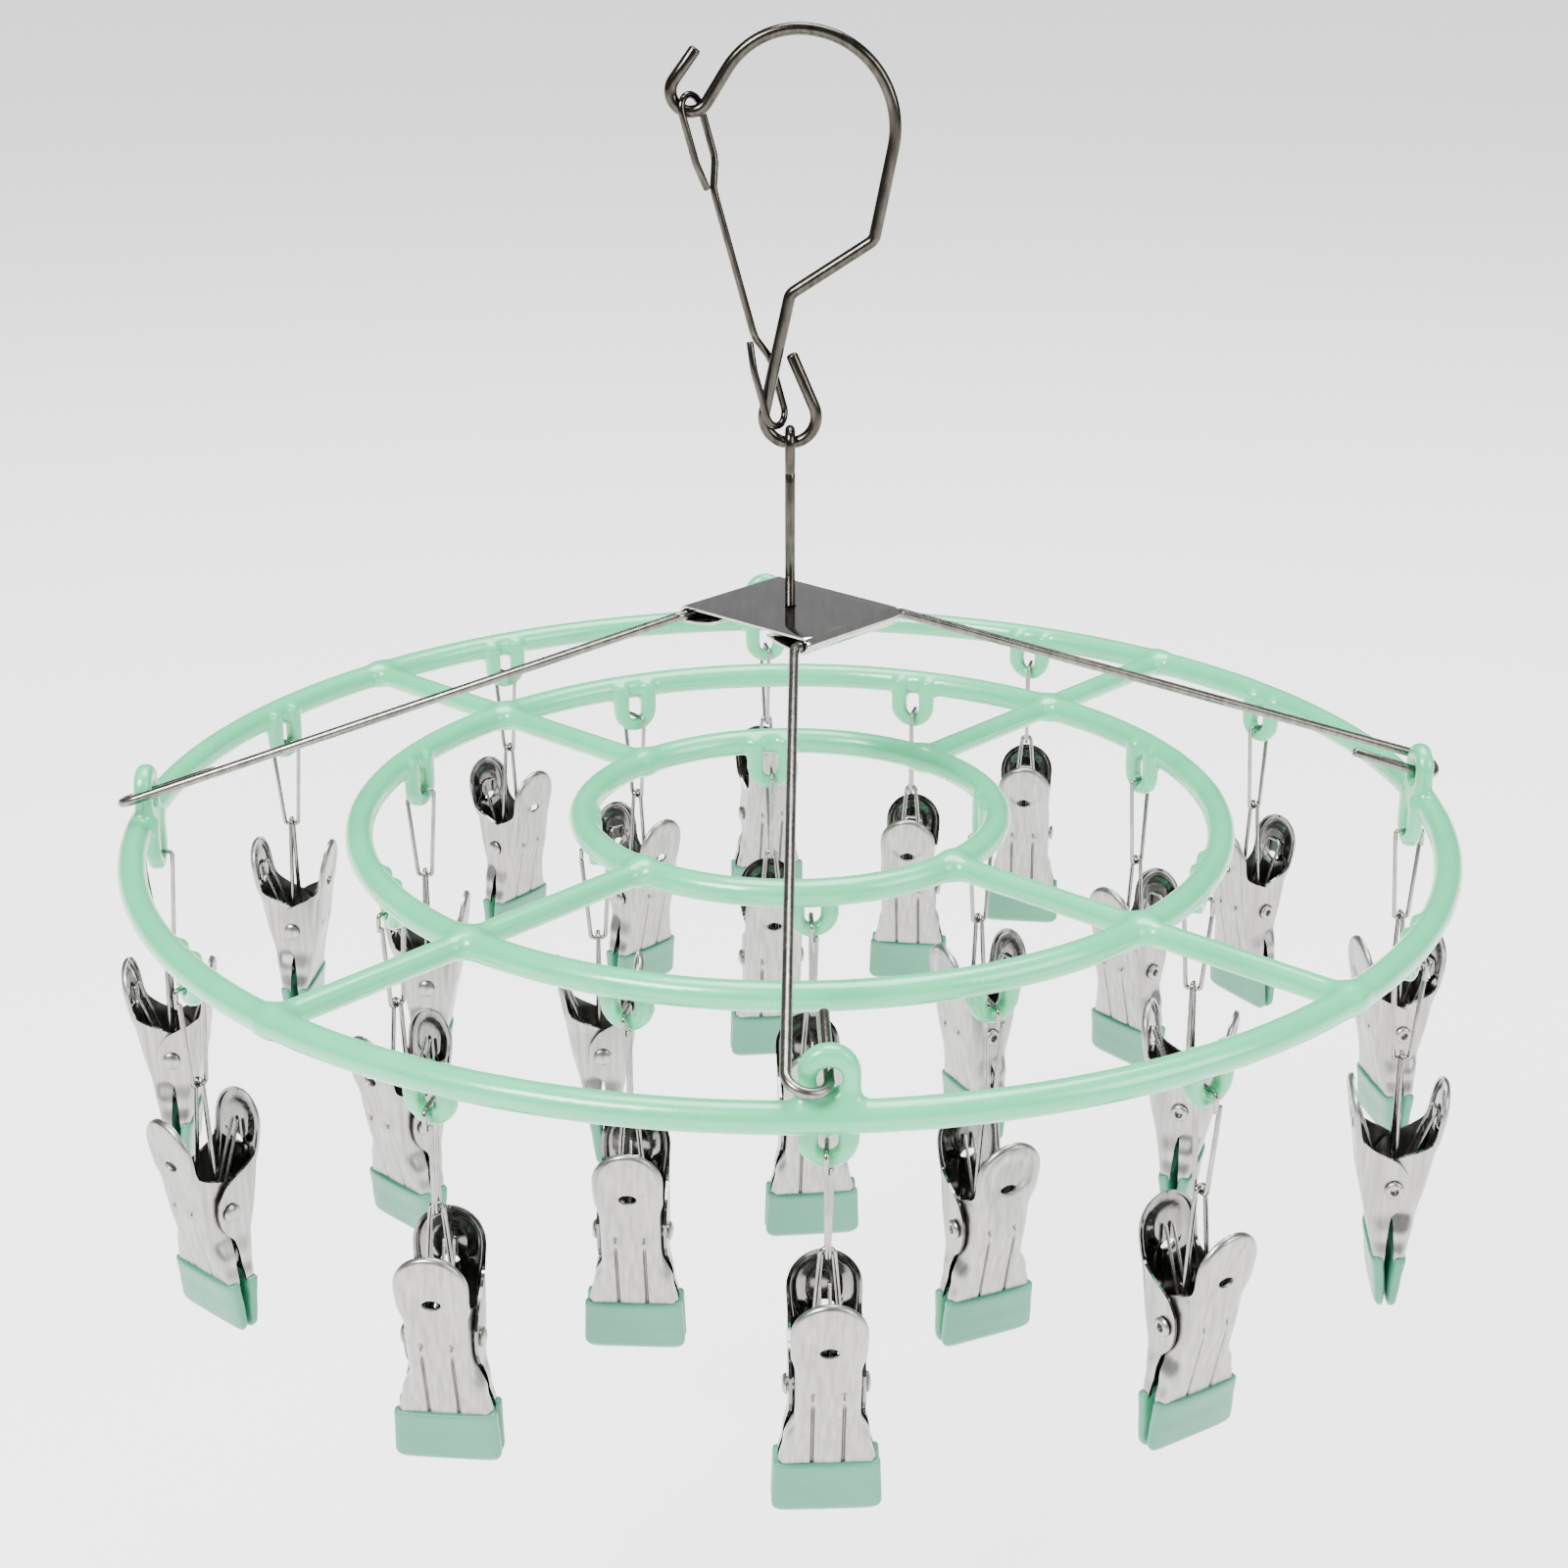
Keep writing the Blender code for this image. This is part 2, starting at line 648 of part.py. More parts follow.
def rivet_mesh(sides):
    pin = cylinder_mesh(RIVET_RADIUS, 2 * RIVET_HALF, sides)
    sideways = Matrix.Rotation(math.pi / 2, 4, "Y")
    pin.transform(sideways)
    head_thickness = 0.9 * MM
    head = cylinder_mesh(RIVET_HEAD_RADIUS, head_thickness, sides)
    heads = []
    for side in (-1, 1):
        place = Matrix.Translation((side * (RIVET_HALF - head_thickness / 2), 0, 0))
        heads.append((head, place @ sideways))
    return joined([pin, gathered(heads)])


def jaw_mesh(heights, columns, cheek_x, steps, hole_sides=0):
    """A jaw's sheet with its two cheeks."""
    sheet = sheet_mesh(jaw_rows(heights, columns), JAW_SHEET)
    cheeks = [(cheek_mesh(x, steps, hole_sides), Matrix()) for x in (-cheek_x, cheek_x)]
    return joined([sheet, gathered(cheeks)])


def turned_over(mesh):
    """The same mesh on the other side of the clip, half a turn round its upright axis."""
    mesh.transform(Matrix.Rotation(math.pi, 4, "Z"))
    return mesh


def upper_link_path():
    top = Vector((0, UPPER_LINK_TOP_HALF, 0))
    bottom = Vector((0, UPPER_LINK_BOTTOM_HALF, -UPPER_LINK_DROP))
    mirror = Matrix.Scale(-1, 3, (0, 1, 0))
    return [top, bottom, mirror @ bottom, mirror @ top]


def lower_link_path(top_gap):
    """An inverted U over the upper link's bottom, in the XZ plane, its origin at the slot."""
    top = -UPPER_LINK_DROP + top_gap
    knee = top - 3 * MM
    legs = [(LOWER_LINK_BOTTOM_HALF, -RIVET_DROP), (LOWER_LINK_TOP_HALF, knee)]
    legs += arc((0, top - LOWER_LINK_TOP_HALF), LOWER_LINK_TOP_HALF, 45, 135, 1)
    legs += [(-LOWER_LINK_TOP_HALF, knee), (-LOWER_LINK_BOTTOM_HALF, -RIVET_DROP)]
    return [upright(x, z) for x, z in legs]


def core_mesh():
    """Jaw a's cheeks with the rivet and spring between them, as one block in a simple clip."""
    mesh = cheek_mesh(0, 2)
    for vertex in mesh.vertices:
        vertex.co.x = math.copysign(CHEEK_A + CHEEK_SHEET / 2, vertex.co.x)
    return mesh


def simple_clip_meshes():
    """Two shared meshes: jaw a with its links, core and tip, and jaw b with its tip."""
    heights = [TIP_METAL_END, TIP_TOP, 0.0, JAW_TOP - THUMB_RADIUS, JAW_TOP]
    sheet = sheet_mesh(jaw_rows(heights, 1), JAW_SHEET)
    upper = wire_mesh(upper_link_path(), LINK_WIRE, 0, closed=True)
    lower = wire_mesh(lower_link_path(LINK_WIRE), LINK_WIRE, 0)
    lifted = Matrix.Translation((0, 0, RIVET_DROP))
    upper.transform(lifted)
    lower.transform(lifted)
    jaw_a = joined([sheet, core_mesh(), tip_mesh(), lower, upper])
    jaw_a.transform(lifted.inverted())
    jaw_b = turned_over(joined([jaw_mesh(heights, 1, CHEEK_B, 2), tip_mesh()]))
    return jaw_a, jaw_b


def loop_end(x_side, turns_from, steps):
    """The eye at the foot of a lower link's leg, round the rivet."""
    radius = RIVET_RADIUS + LINK_WIRE + GAP
    points = arc((0, -RIVET_DROP), radius, turns_from, turns_from - 270, steps)
    return [Vector((x_side * LOWER_LINK_BOTTOM_HALF, y, z)) for y, z in points]


def spring_path():
    """A torsion spring round the rivet, its legs leaning on the two jaws."""
    steps = 8
    leg = Vector((0, math.sin(SPRING_LEAN), math.cos(SPRING_LEAN))) * SPRING_LEG
    mirror = Matrix.Scale(-1, 3, (0, 1, 0))
    points = []
    total = round(SPRING_TURNS * steps)
    for i in range(total + 1):
        angle = math.pi * 2 * i / steps
        x = SPRING_PITCH * (i - total / 2) / steps
        points.append(Vector((x, SPRING_COIL * math.cos(angle), SPRING_COIL * math.sin(angle))))
    start = points[0] + leg
    end = points[-1] + mirror @ leg
    return [start, *points, end]


def sleeve_tip_mesh():
    """A dipped tip as a sleeve, with the pocket that the jaw's end fills."""
    pocket_top = TIP_TOP + MM
    heights = [TIP_METAL_END - GAP, -26 * MM, TIP_TOP, pocket_top]
    rows = []
    for z in heights:
        half = TIP_METAL_HALF + GAP
        rows.append([(-half, jaw_line(z), z), (half, jaw_line(z), z)])
    pocket = sheet_mesh(rows, JAW_SHEET + 2 * GAP)
    return joined([tip_mesh(), pocket], "DIFFERENCE")


def make_detailed_clip(name, place, turn, materials):
    """The clip at the front, with every piece that it really has."""
    heights = [TIP_METAL_END, -26 * MM, TIP_TOP, 0.0]
    thumb = JAW_TOP - THUMB_RADIUS
    heights += [thumb + THUMB_RADIUS * s for s in (0.0, 0.4, 0.7, 0.9, 1.0)]
    rivet = place + Vector((0, 0, -RIVET_DROP))
    link_meet = place + Vector((0, 0, -UPPER_LINK_DROP))
    upper = wire_mesh(rounded_loop(upper_link_path(), 1.1 * MM), LINK_WIRE, 1, closed=True)
    add_clip_part(name + "_link_upper", upper, materials["link"], place, turn)

    legs = lower_link_path(2 * LINK_WIRE + GAP)[1:-1]
    lower_points = loop_end(1, 180, 7)[::-1] + legs + loop_end(-1, 180, 7)
    lower = wire_mesh(lower_points, LINK_WIRE, 1)
    lower.transform(Matrix.Translation((0, 0, UPPER_LINK_DROP)))
    add_clip_part(name + "_link_lower", lower, materials["link"], link_meet, turn)

    jaw_a = joined([jaw_mesh(heights, 2, CHEEK_A, 5), rivet_mesh(10)])
    add_clip_part(name + "_jaw_a", jaw_a, materials["jaw"], rivet, turn)
    jaw_b = turned_over(jaw_mesh(heights, 2, CHEEK_B, 5, 10))
    add_clip_part(name + "_jaw_b", jaw_b, materials["jaw"], rivet, turn)
    add_clip_part(name + "_tip_a", sleeve_tip_mesh(), materials["tip"], rivet, turn)
    add_clip_part(name + "_tip_b", turned_over(sleeve_tip_mesh()), materials["tip"], rivet, turn)
    spring = wire_mesh(spring_path(), SPRING_WIRE, 0)
    add_clip_part(name + "_spring", spring, materials["spring"], rivet, turn)


def rounded_loop(points, radius):
    """A closed path with all of its corners rounded."""
    ring = [points[-1], *points, points[0]]
    return rounded([Vector(p) for p in ring], radius, 2)[1:-1]


def add_clip_part(name, mesh, material, place, turn):
    return add_part(name, mesh, material, place, turn, move_mesh=False)


def make_clips():
    materials = {
        "link": steel("link_wire"),
        "jaw": steel("jaw_sheet", roughness=0.22),
        "spring": steel("spring_wire", DARK_STEEL),
        "tip": plastic("dipped_tip", MINT_TIP),
    }
    jaw_a, jaw_b = simple_clip_meshes()
    for ring, radius, count, first in RINGS:
        for i in range(count):
            azimuth = first + i * 2 * math.pi / count
            place = radial(azimuth) * (radius - LUG_INSET) + Vector((0, 0, LINK_HEIGHT))
            turn = azimuth + math.radians(CLIP_TWIST.get((ring, i + 1), 0)) - math.pi / 2
            name = f"{ring}_clip_{i + 1:02d}"
            if (ring, i + 1) == DETAILED_CLIP:
                make_detailed_clip(name, place, turn, materials)
                continue
            rivet = place + Vector((0, 0, -RIVET_DROP))
            add_clip_part(name + "_jaw_a", jaw_a, materials["jaw"], place, turn)
            add_clip_part(name + "_jaw_b", jaw_b, materials["jaw"], rivet, turn)


clear_scene()
PARTS = new_collection("clip_drying_hanger")
CUTTERS = new_collection("cutters")
make_hook()
make_latch()
make_stem()
make_top_plate()
make_support_wire("support_wire_a", 0.0)
make_support_wire("support_wire_b", math.pi)
make_ring_frame()
make_clips()
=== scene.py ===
"""Looks of the round clip drying hanger, built round its CAD frame.

Lengths are in metres: millimetres times MM for the object, and plain metres for the stage.
Those of the ring frame and of the clips' jaws, tips and rivets that are written without MM are
millimetres until their meshes are made. Heights of the hook, plate and ring frame are measured
from the plane of the rings, and RING_Z is that plane's height over the rail seat. Heights of a
clip's parts are measured from its rivet, and drops from its swing joint.
"""

import json
import math

import bmesh
import bpy
import numpy as np
from mathutils import Matrix, Vector


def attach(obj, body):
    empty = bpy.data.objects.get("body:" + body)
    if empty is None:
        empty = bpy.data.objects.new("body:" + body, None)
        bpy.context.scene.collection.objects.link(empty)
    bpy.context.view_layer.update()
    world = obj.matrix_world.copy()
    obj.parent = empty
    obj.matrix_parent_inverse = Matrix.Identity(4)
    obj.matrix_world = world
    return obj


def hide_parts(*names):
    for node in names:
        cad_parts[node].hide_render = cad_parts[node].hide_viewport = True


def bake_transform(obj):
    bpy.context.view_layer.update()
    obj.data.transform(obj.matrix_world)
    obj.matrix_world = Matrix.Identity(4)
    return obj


MM = 0.001

# Ring frame
RING_RADIUS = 166.5
MIDDLE_RADIUS = 0.665 * RING_RADIUS
INNER_RADIUS = 0.3225 * RING_RADIUS
TUBE_RADIUS = 3.5
SPOKE_RADIUS = 3.0
SPOKE_FILLET = 3.0
FRAME_TURN = math.radians(2.7)
HEM_TURN = FRAME_TURN + math.pi / 4
VOXEL = 0.9 * MM
# The rings: radius, number of lugs, azimuth of the first
RINGS = (
    (RING_RADIUS, 12, FRAME_TURN),
    (MIDDLE_RADIUS, 8, FRAME_TURN + math.radians(22.5)),
    (INNER_RADIUS, 4, FRAME_TURN + math.radians(3.5)),
)
LUG_INSET = 3.0
LUG_HALF_WIDTH = 6.4
LUG_TOP = 2.0
LUG_BOTTOM = -12.6
LUG_THICKNESS = 3.5
LUG_EDGE = 1.25
LUG_FILLET = 1.2
SLOT_HALF_WIDTH = 2.0
SLOT_BOTTOM = -9.3
ANCHOR_INSET = 1.6
ANCHOR_HALF_WIDTH = 6.5
ANCHOR_TOP = 15.6
ANCHOR_THICKNESS = 4.5
ANCHOR_EDGE = 1.9
ANCHOR_FILLET = 2.6
ANCHOR_HOLE_HEIGHT = 8.0
ANCHOR_HOLE_HALF_WIDTH = 2.4
ANCHOR_HOLE_HALF_HEIGHT = 2.7

# Top plate
PLATE_TOP = 55.7 * MM
PLATE_SHEET = 0.8 * MM
PLATE_LENGTH = 35.0 * MM
HEM_OFFSET = 19.5 * MM
HEM_RADIUS = 1.9 * MM
HEM_FLAP_END = 8.0 * MM
STEM_HOLE_RADIUS = 1.75 * MM

# Wires
HOOK_WIRE = 1.5 * MM
STEM_WIRE = 1.3 * MM
SUPPORT_WIRE = 1.2 * MM
LATCH_WIRE = 0.9 * MM
LINK_WIRE = 0.6 * MM
SPRING_WIRE = 0.42 * MM
CLEARANCE = 0.3 * MM
LINK_CORNER = 1.1 * MM
SPRING_CORNER = 1.3 * MM

# Hook, in the XZ plane
HOOK_TOP = 195.4 * MM
HOOK_CENTRE_X = 2.0 * MM
HOOK_LEFT_BEND = 19.9 * MM
HOOK_RIGHT_BEND = 22.8 * MM
TIP_CENTRE = (-23.4 * MM, 181.2 * MM)
TIP_BEND = 4.6 * MM
TIP_END = (-21.9 * MM, 191.0 * MM)
HOOK_SHOULDER = (20.1 * MM, 146.8 * MM)
HOOK_NECK = (0.0, 133.9 * MM)
HOOK_CORNER = 3.0 * MM
CURL_HEIGHT = 103.9 * MM
CURL_BEND = 6.4 * MM
CURL_TAIL = 14.2 * MM
RING_Z = HOOK_WIRE - HOOK_TOP
RING_PLANE = Matrix.Translation((0, 0, RING_Z))

# Latch and stem
LATCH_BOTTOM = Vector((-2.7 * MM, 0, 101.9 * MM))
LATCH_TOP = Vector((-24.1 * MM, 0, 180.4 * MM))
LATCH_TURN = math.radians(52)
LATCH_HALF_WIDTH = 3.5 * MM
LATCH_STRAIGHT = 15.0 * MM
LATCH_HAIRPIN = 22.0 * MM
EYE_RADIUS = 3.2 * MM
EYE_TAIL_END = 90.5 * MM
STEM_HEAD_RADIUS = 3.0 * MM
STEM_HEAD_HEIGHT = 1.4 * MM

# Support wires
HAIRPIN_RADIUS = 4.5 * MM
HAIRPIN_REACH = 0.6 * MM
HAIRPIN_TILT = math.radians(13)
HAIRPIN_TAIL = 19.0 * MM
SUPPORT_CORNER = 2.5 * MM

# Clip: X along the rivet, Y out through jaw a, Z up
RIVET_DROP = 56.3 * MM
UPPER_LINK_DROP = 25.3 * MM
UPPER_LINK_TOP_HALF = 3.7 * MM
UPPER_LINK_BOTTOM_HALF = 1.9 * MM
LOWER_LINK_TOP_HALF = 1.4 * MM
LOWER_LINK_BOTTOM_HALF = 3.7 * MM
JAW_SHEET = 0.7 * MM
JAW_TOP = 25.5
THUMB_RADIUS = 7.8
THUMB_CENTRE = JAW_TOP - THUMB_RADIUS
JAW_FOOT = -20.5
JAW_WAIST = 7.6
JAW_SPREAD = 11.7
JAW_CLOSED = 1.35
JAW_CLOSED_HEIGHT = -26.0
RIM_RADIUS = 1.0
RIM_LIP = 0.1
RIB_REACH = 6.6
RIB_WIDTH = 0.5
RIB_DEPTH = 0.8
DIMPLE_HEIGHT = 1.9
DIMPLE_DEPTH = 1.3
DIMPLE_SPREAD = 0.5
DISH_DEPTH = 0.45
HOLE_HEIGHT = 13.4
HOLE_RADIUS = 1.2
HOLE_STRETCH = 1.75
CHEEK_A = 6.6
CHEEK_B = 7.8
TIP_TOP = -18.0
TIP_BOTTOM = -31.0
TIP_HALF_TOP = 11.4
TIP_HALF_BOTTOM = 12.0
TIP_CORNER = 2.9
TIP_LIP = 0.7
TIP_EDGE = 1.0
RIVET_RADIUS = 1.5
RIVET_HEAD_RADIUS = 2.3
RIVET_HALF = 9.4
SPRING_COIL = 2.7 * MM
SPRING_PITCH = 0.98 * MM
SPRING_ARM = 18.5 * MM
SPRING_REACH = 9.1 * MM

# Floor
FLOOR_HEIGHT = -0.5
FLOOR_REACH = 9.0
FLOOR_SWELL = 0.02
FLOOR_GLOW = 1.3

# Shading
SMOOTH_ANGLE = math.radians(42)
BEVEL_ANGLE = math.radians(50)
NOISE_LOW = 0.3
NOISE_HIGH = 0.7
COAT_ROUGHNESS = 0.12

# Stands a solid of revolution round X up along Z
X_TO_Z = Matrix(((0, 0, -1, 0), (0, 1, 0, 0), (1, 0, 0, 0), (0, 0, 0, 1)))


# ---------------------------------------------------------------- materials


class Finish:
    """A material with its nodes at hand."""

    def __init__(self, name, roughness, metallic=0.0):
        self.material = bpy.data.materials.new(name)
        self.material.use_nodes = True
        self.tree = self.material.node_tree
        self.shader = self.tree.nodes["Principled BSDF"]
        self.shader.inputs["Metallic"].default_value = metallic
        self.shader.inputs["Roughness"].default_value = roughness
        self.place = self.tree.nodes.new("ShaderNodeTexCoord")

    def noise(self, scale, stretch=(1, 1, 1), detail=3.0):
        """Noise over the piece's own coordinates, with features of about 1 / scale metres."""
        mapping = self.tree.nodes.new("ShaderNodeMapping")
        mapping.inputs["Scale"].default_value = stretch
        self.tree.links.new(self.place.outputs["Object"], mapping.inputs["Vector"])
        texture = self.tree.nodes.new("ShaderNodeTexNoise")
        texture.inputs["Scale"].default_value = scale
        texture.inputs["Detail"].default_value = detail
        self.tree.links.new(mapping.outputs["Vector"], texture.inputs["Vector"])
        return texture.outputs["Fac"]

    def colours(self, factor, stops):
        """Colour by the factor, from one (factor, colour) pair to the other."""
        ramp = self.tree.nodes.new("ShaderNodeValToRGB")
        for element, (position, colour) in zip(ramp.color_ramp.elements, stops):
            element.position = position
            element.color = (*colour, 1)
        self.tree.links.new(factor, ramp.inputs["Fac"])
        self.tree.links.new(ramp.outputs["Color"], self.shader.inputs["Base Color"])

    def roughness(self, factor, low, high):
        spread = self.tree.nodes.new("ShaderNodeMapRange")
        spread.inputs["From Min"].default_value = NOISE_LOW
        spread.inputs["From Max"].default_value = NOISE_HIGH
        spread.inputs["To Min"].default_value = low
        spread.inputs["To Max"].default_value = high
        self.tree.links.new(factor, spread.inputs["Value"])
        self.tree.links.new(spread.outputs["Result"], self.shader.inputs["Roughness"])

    def bump(self, factor, depth):
        """Relief of the depth in metres, over any that is there already."""
        bump = self.tree.nodes.new("ShaderNodeBump")
        bump.inputs["Strength"].default_value = 1.0
        bump.inputs["Distance"].default_value = depth
        self.tree.links.new(factor, bump.inputs["Height"])
        for link in self.shader.inputs["Normal"].links:
            self.tree.links.new(link.from_socket, bump.inputs["Normal"])
        self.tree.links.new(bump.outputs["Normal"], self.shader.inputs["Normal"])


def steel_finish(name, colours, roughness, scale, stretch, depth, wave=0.0):
    """Bare steel: grain drawn out along its length, smudges, and waves where it was pressed."""
    finish = Finish(name, roughness[0], metallic=1.0)
    grain = finish.noise(scale, stretch)
    finish.colours(grain, ((NOISE_LOW, colours[0]), (NOISE_HIGH, colours[1])))
    smudges = finish.noise(90, detail=4.0)
    finish.roughness(smudges, *roughness)
    if wave:
        waves = finish.noise(110, detail=1.0)
        finish.bump(waves, wave)
    finish.bump(grain, depth)
    return finish.material


def vinyl_finish(name, colours, roughness, depth, coat):
    """Soft plastic: a mottled colour, a skin of uneven gloss and a fine grain."""
    finish = Finish(name, roughness[0])
    finish.shader.inputs["Coat Weight"].default_value = coat
    finish.shader.inputs["Coat Roughness"].default_value = COAT_ROUGHNESS
    mottle = finish.noise(45, detail=5.0)
    finish.colours(mottle, ((NOISE_LOW, colours[0]), (NOISE_HIGH, colours[1])))
    gloss = finish.noise(260)
    finish.roughness(gloss, *roughness)
    grain = finish.noise(420, detail=2.0)
    finish.bump(grain, depth)
    return finish.material


def floor_finish():
    finish = Finish("pale_floor", 0.9)
    mottle = finish.noise(2.0)
    finish.colours(mottle, ((0.2, (0.86, 0.86, 0.86)), (0.8, (0.9, 0.9, 0.9))))
    finish.shader.inputs["Emission Color"].default_value = (1.0, 1.0, 1.0, 1)
    finish.shader.inputs["Emission Strength"].default_value = FLOOR_GLOW
    return finish.material


# ---------------------------------------------------------------- points and paths


def arc(centre, radius, start, end, steps):
    """Points of an arc in a plane, both ends included; angles in degrees."""
    points = []
    for i in range(steps + 1):
        angle = math.radians(start + (end - start) * i / steps)
        points.append((centre[0] + radius * math.cos(angle), centre[1] + radius * math.sin(angle)))
    return points


def rounded(points, radius, steps):
    """The path with each inner corner replaced by an arc of the radius."""
    path = [points[0].copy()]
    for before, corner, after in zip(points, points[1:], points[2:]):
        into = (corner - before).normalized()
        out = (after - corner).normalized()
        turn = into.angle(out)
        reach = radius * math.tan(turn / 2)
        centre = corner + (out - into).normalized() * (radius / math.cos(turn / 2))
        axis = into.cross(out).normalized()
        first = corner - into * reach
        for i in range(steps + 1):
            spin = Matrix.Rotation(turn * i / steps, 3, axis)
            path.append(centre + spin @ (first - centre))
    path.append(points[-1].copy())
    return path


def radial(azimuth):
    return Vector((math.cos(azimuth), math.sin(azimuth), 0))


def tangential(azimuth):
    return Vector((-math.sin(azimuth), math.cos(azimuth), 0))


def upright(x, z):
    return Vector((x, 0, z))


def eased(value, stops):
    """A value between the stops' heights, with a smooth step from each stop to the next."""
    for (low, first), (high, second) in zip(stops, stops[1:]):
        if value <= high:
            share = min(1.0, max(0.0, (value - low) / (high - low)))
            return first + (second - first) * (1 - math.cos(math.pi * share)) / 2
    return stops[-1][1]


def drawn_in(to_edge, radius):
    """How far a surface with a rounded edge falls back, at a distance from that edge."""
    inside = max(0.0, radius - to_edge)
    return radius - math.sqrt(max(0.0, radius**2 - inside**2))


# ---------------------------------------------------------------- mesh building


def mesh_of(name, points, faces):
    mesh = bpy.data.meshes.new(name)
    mesh.from_pydata([tuple(p) for p in points], [], faces)
    mesh.update()
    return mesh


def ringed_faces(rings, sides):
    """Faces of a solid drawn as one ring of points after another, closed at both ends."""
    faces = []
    for i in range(rings - 1):
        for k in range(sides):
            a = i * sides + k
            b = i * sides + (k + 1) % sides
            faces.append((a, b, b + sides, a + sides))
    faces.append(tuple(range(sides - 1, -1, -1)))
    last = (rings - 1) * sides
    faces.append(tuple(range(last, last + sides)))
    return faces


def wire_mesh(name, path, radius, sides):
    """A round wire along the path, its cut ends a little rounded."""
    shortest = 0.001 * MM
    points = [path[0].copy()]
    for point in path[1:]:
        if (point - points[-1]).length > shortest:
            points.append(point.copy())
    directions = []
    for i in range(len(points)):
        ahead = points[min(i + 1, len(points) - 1)]
        behind = points[max(i - 1, 0)]
        directions.append((ahead - behind).normalized())
    stations = []
    softening = ((0.0, 0.62), (0.12, 0.86), (0.34, 0.98))
    for back, share in softening:
        stations.append((points[0] + directions[0] * (back * radius), directions[0], share))
    for i in range(1, len(points) - 1):
        stations.append((points[i], directions[i], 1.0))
    for back, share in reversed(softening):
        stations.append((points[-1] - directions[-1] * (back * radius), directions[-1], share))
    side = directions[0].orthogonal().normalized()
    before = directions[0]
    verts = []
    for centre, direction, share in stations:
        side = before.rotation_difference(direction) @ side
        side = (side - direction * side.dot(direction)).normalized()
        other = direction.cross(side)
        before = direction
        for k in range(sides):
            angle = 2 * math.pi * k / sides
            spoke = side * math.cos(angle) + other * math.sin(angle)
            verts.append(centre + spoke * (radius * share))
    return mesh_of(name, verts, ringed_faces(len(stations), sides))


def lathe_mesh(name, profile, sides):
    """A solid of revolution round X from (x, radius) pairs, closed at both ends."""
    verts = []
    for x, radius in profile:
        for k in range(sides):
            angle = 2 * math.pi * k / sides
            verts.append((x, radius * math.cos(angle), radius * math.sin(angle)))
    return mesh_of(name, verts, ringed_faces(len(profile), sides))


def merged(name, meshes):
    """One mesh of several, each given with the matrix that places it."""
    shape = bmesh.new()
    for mesh, matrix in meshes:
        copy = mesh.copy()
        copy.transform(matrix)
        shape.from_mesh(copy)
        bpy.data.meshes.remove(copy)
    whole = bpy.data.meshes.new(name)
    shape.to_mesh(whole)
    shape.free()
    return whole


def evaluated(name, mesh, add_modifiers):
    """The mesh after the modifiers that the function adds."""
    obj = bpy.data.objects.new("working", mesh)
    bpy.context.scene.collection.objects.link(obj)
    add_modifiers(obj)
    depsgraph = bpy.context.evaluated_depsgraph_get()
    result = bpy.data.meshes.new_from_object(obj.evaluated_get(depsgraph))
    result.name = name
    bpy.data.objects.remove(obj, do_unlink=True)
    return result


def thicken(thickness, bevel=0.0):
    """Modifiers that turn a sheet's middle into a sheet of the thickness."""

    def add(obj):
        solid = obj.modifiers.new("thickness", "SOLIDIFY")
        solid.thickness = thickness
        solid.offset = 0
        solid.use_even_offset = True
        if bevel:
            edge = obj.modifiers.new("edges", "BEVEL")
            edge.width = bevel
            edge.segments = 2
            edge.limit_method = "ANGLE"
            edge.angle_limit = BEVEL_ANGLE

    return add


def cut_mesh(name, mesh, tool_mesh):
    """The mesh with the tool's space taken out of it."""
    tool = bpy.data.objects.new("cutter", tool_mesh)
    bpy.context.scene.collection.objects.link(tool)

    def cut(obj):
        boolean = obj.modifiers.new("cut", "BOOLEAN")
        boolean.operation = "DIFFERENCE"
        boolean.solver = "EXACT"
        boolean.object = tool

    result = evaluated(name, mesh, cut)
    bpy.data.objects.remove(tool, do_unlink=True)
    return result


def grid_mesh(name, rows):
    """A sheet from rows of points."""
    width = len(rows[0])
    faces = []
    for i in range(len(rows) - 1):
        for k in range(width - 1):
            a = i * width + k
            faces.append((a, a + 1, a + 1 + width, a + width))
    return mesh_of(name, [p for row in rows for p in row], faces)


def shown(name, mesh, finishes, matrix):
    """The mesh as an object of the scene, smooth and in its materials."""
    if not mesh.materials:
        for finish in finishes:
            mesh.materials.append(finish)
        mesh.shade_smooth()
        mesh.set_sharp_from_angle(angle=SMOOTH_ANGLE)
    obj = bpy.data.objects.new(name, mesh)
    obj.matrix_world = matrix
    bpy.context.scene.collection.objects.link(obj)
    return obj


def piece(name, mesh, finishes, body, matrix=RING_PLANE, nodes=()):
    """A named piece that moves with a body of the frame and stands in for the CAD nodes."""
    obj = shown(name, mesh, finishes, matrix)
    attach(obj, body)
    if nodes:
        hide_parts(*nodes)


# ---------------------------------------------------------------- hook, latch and stem


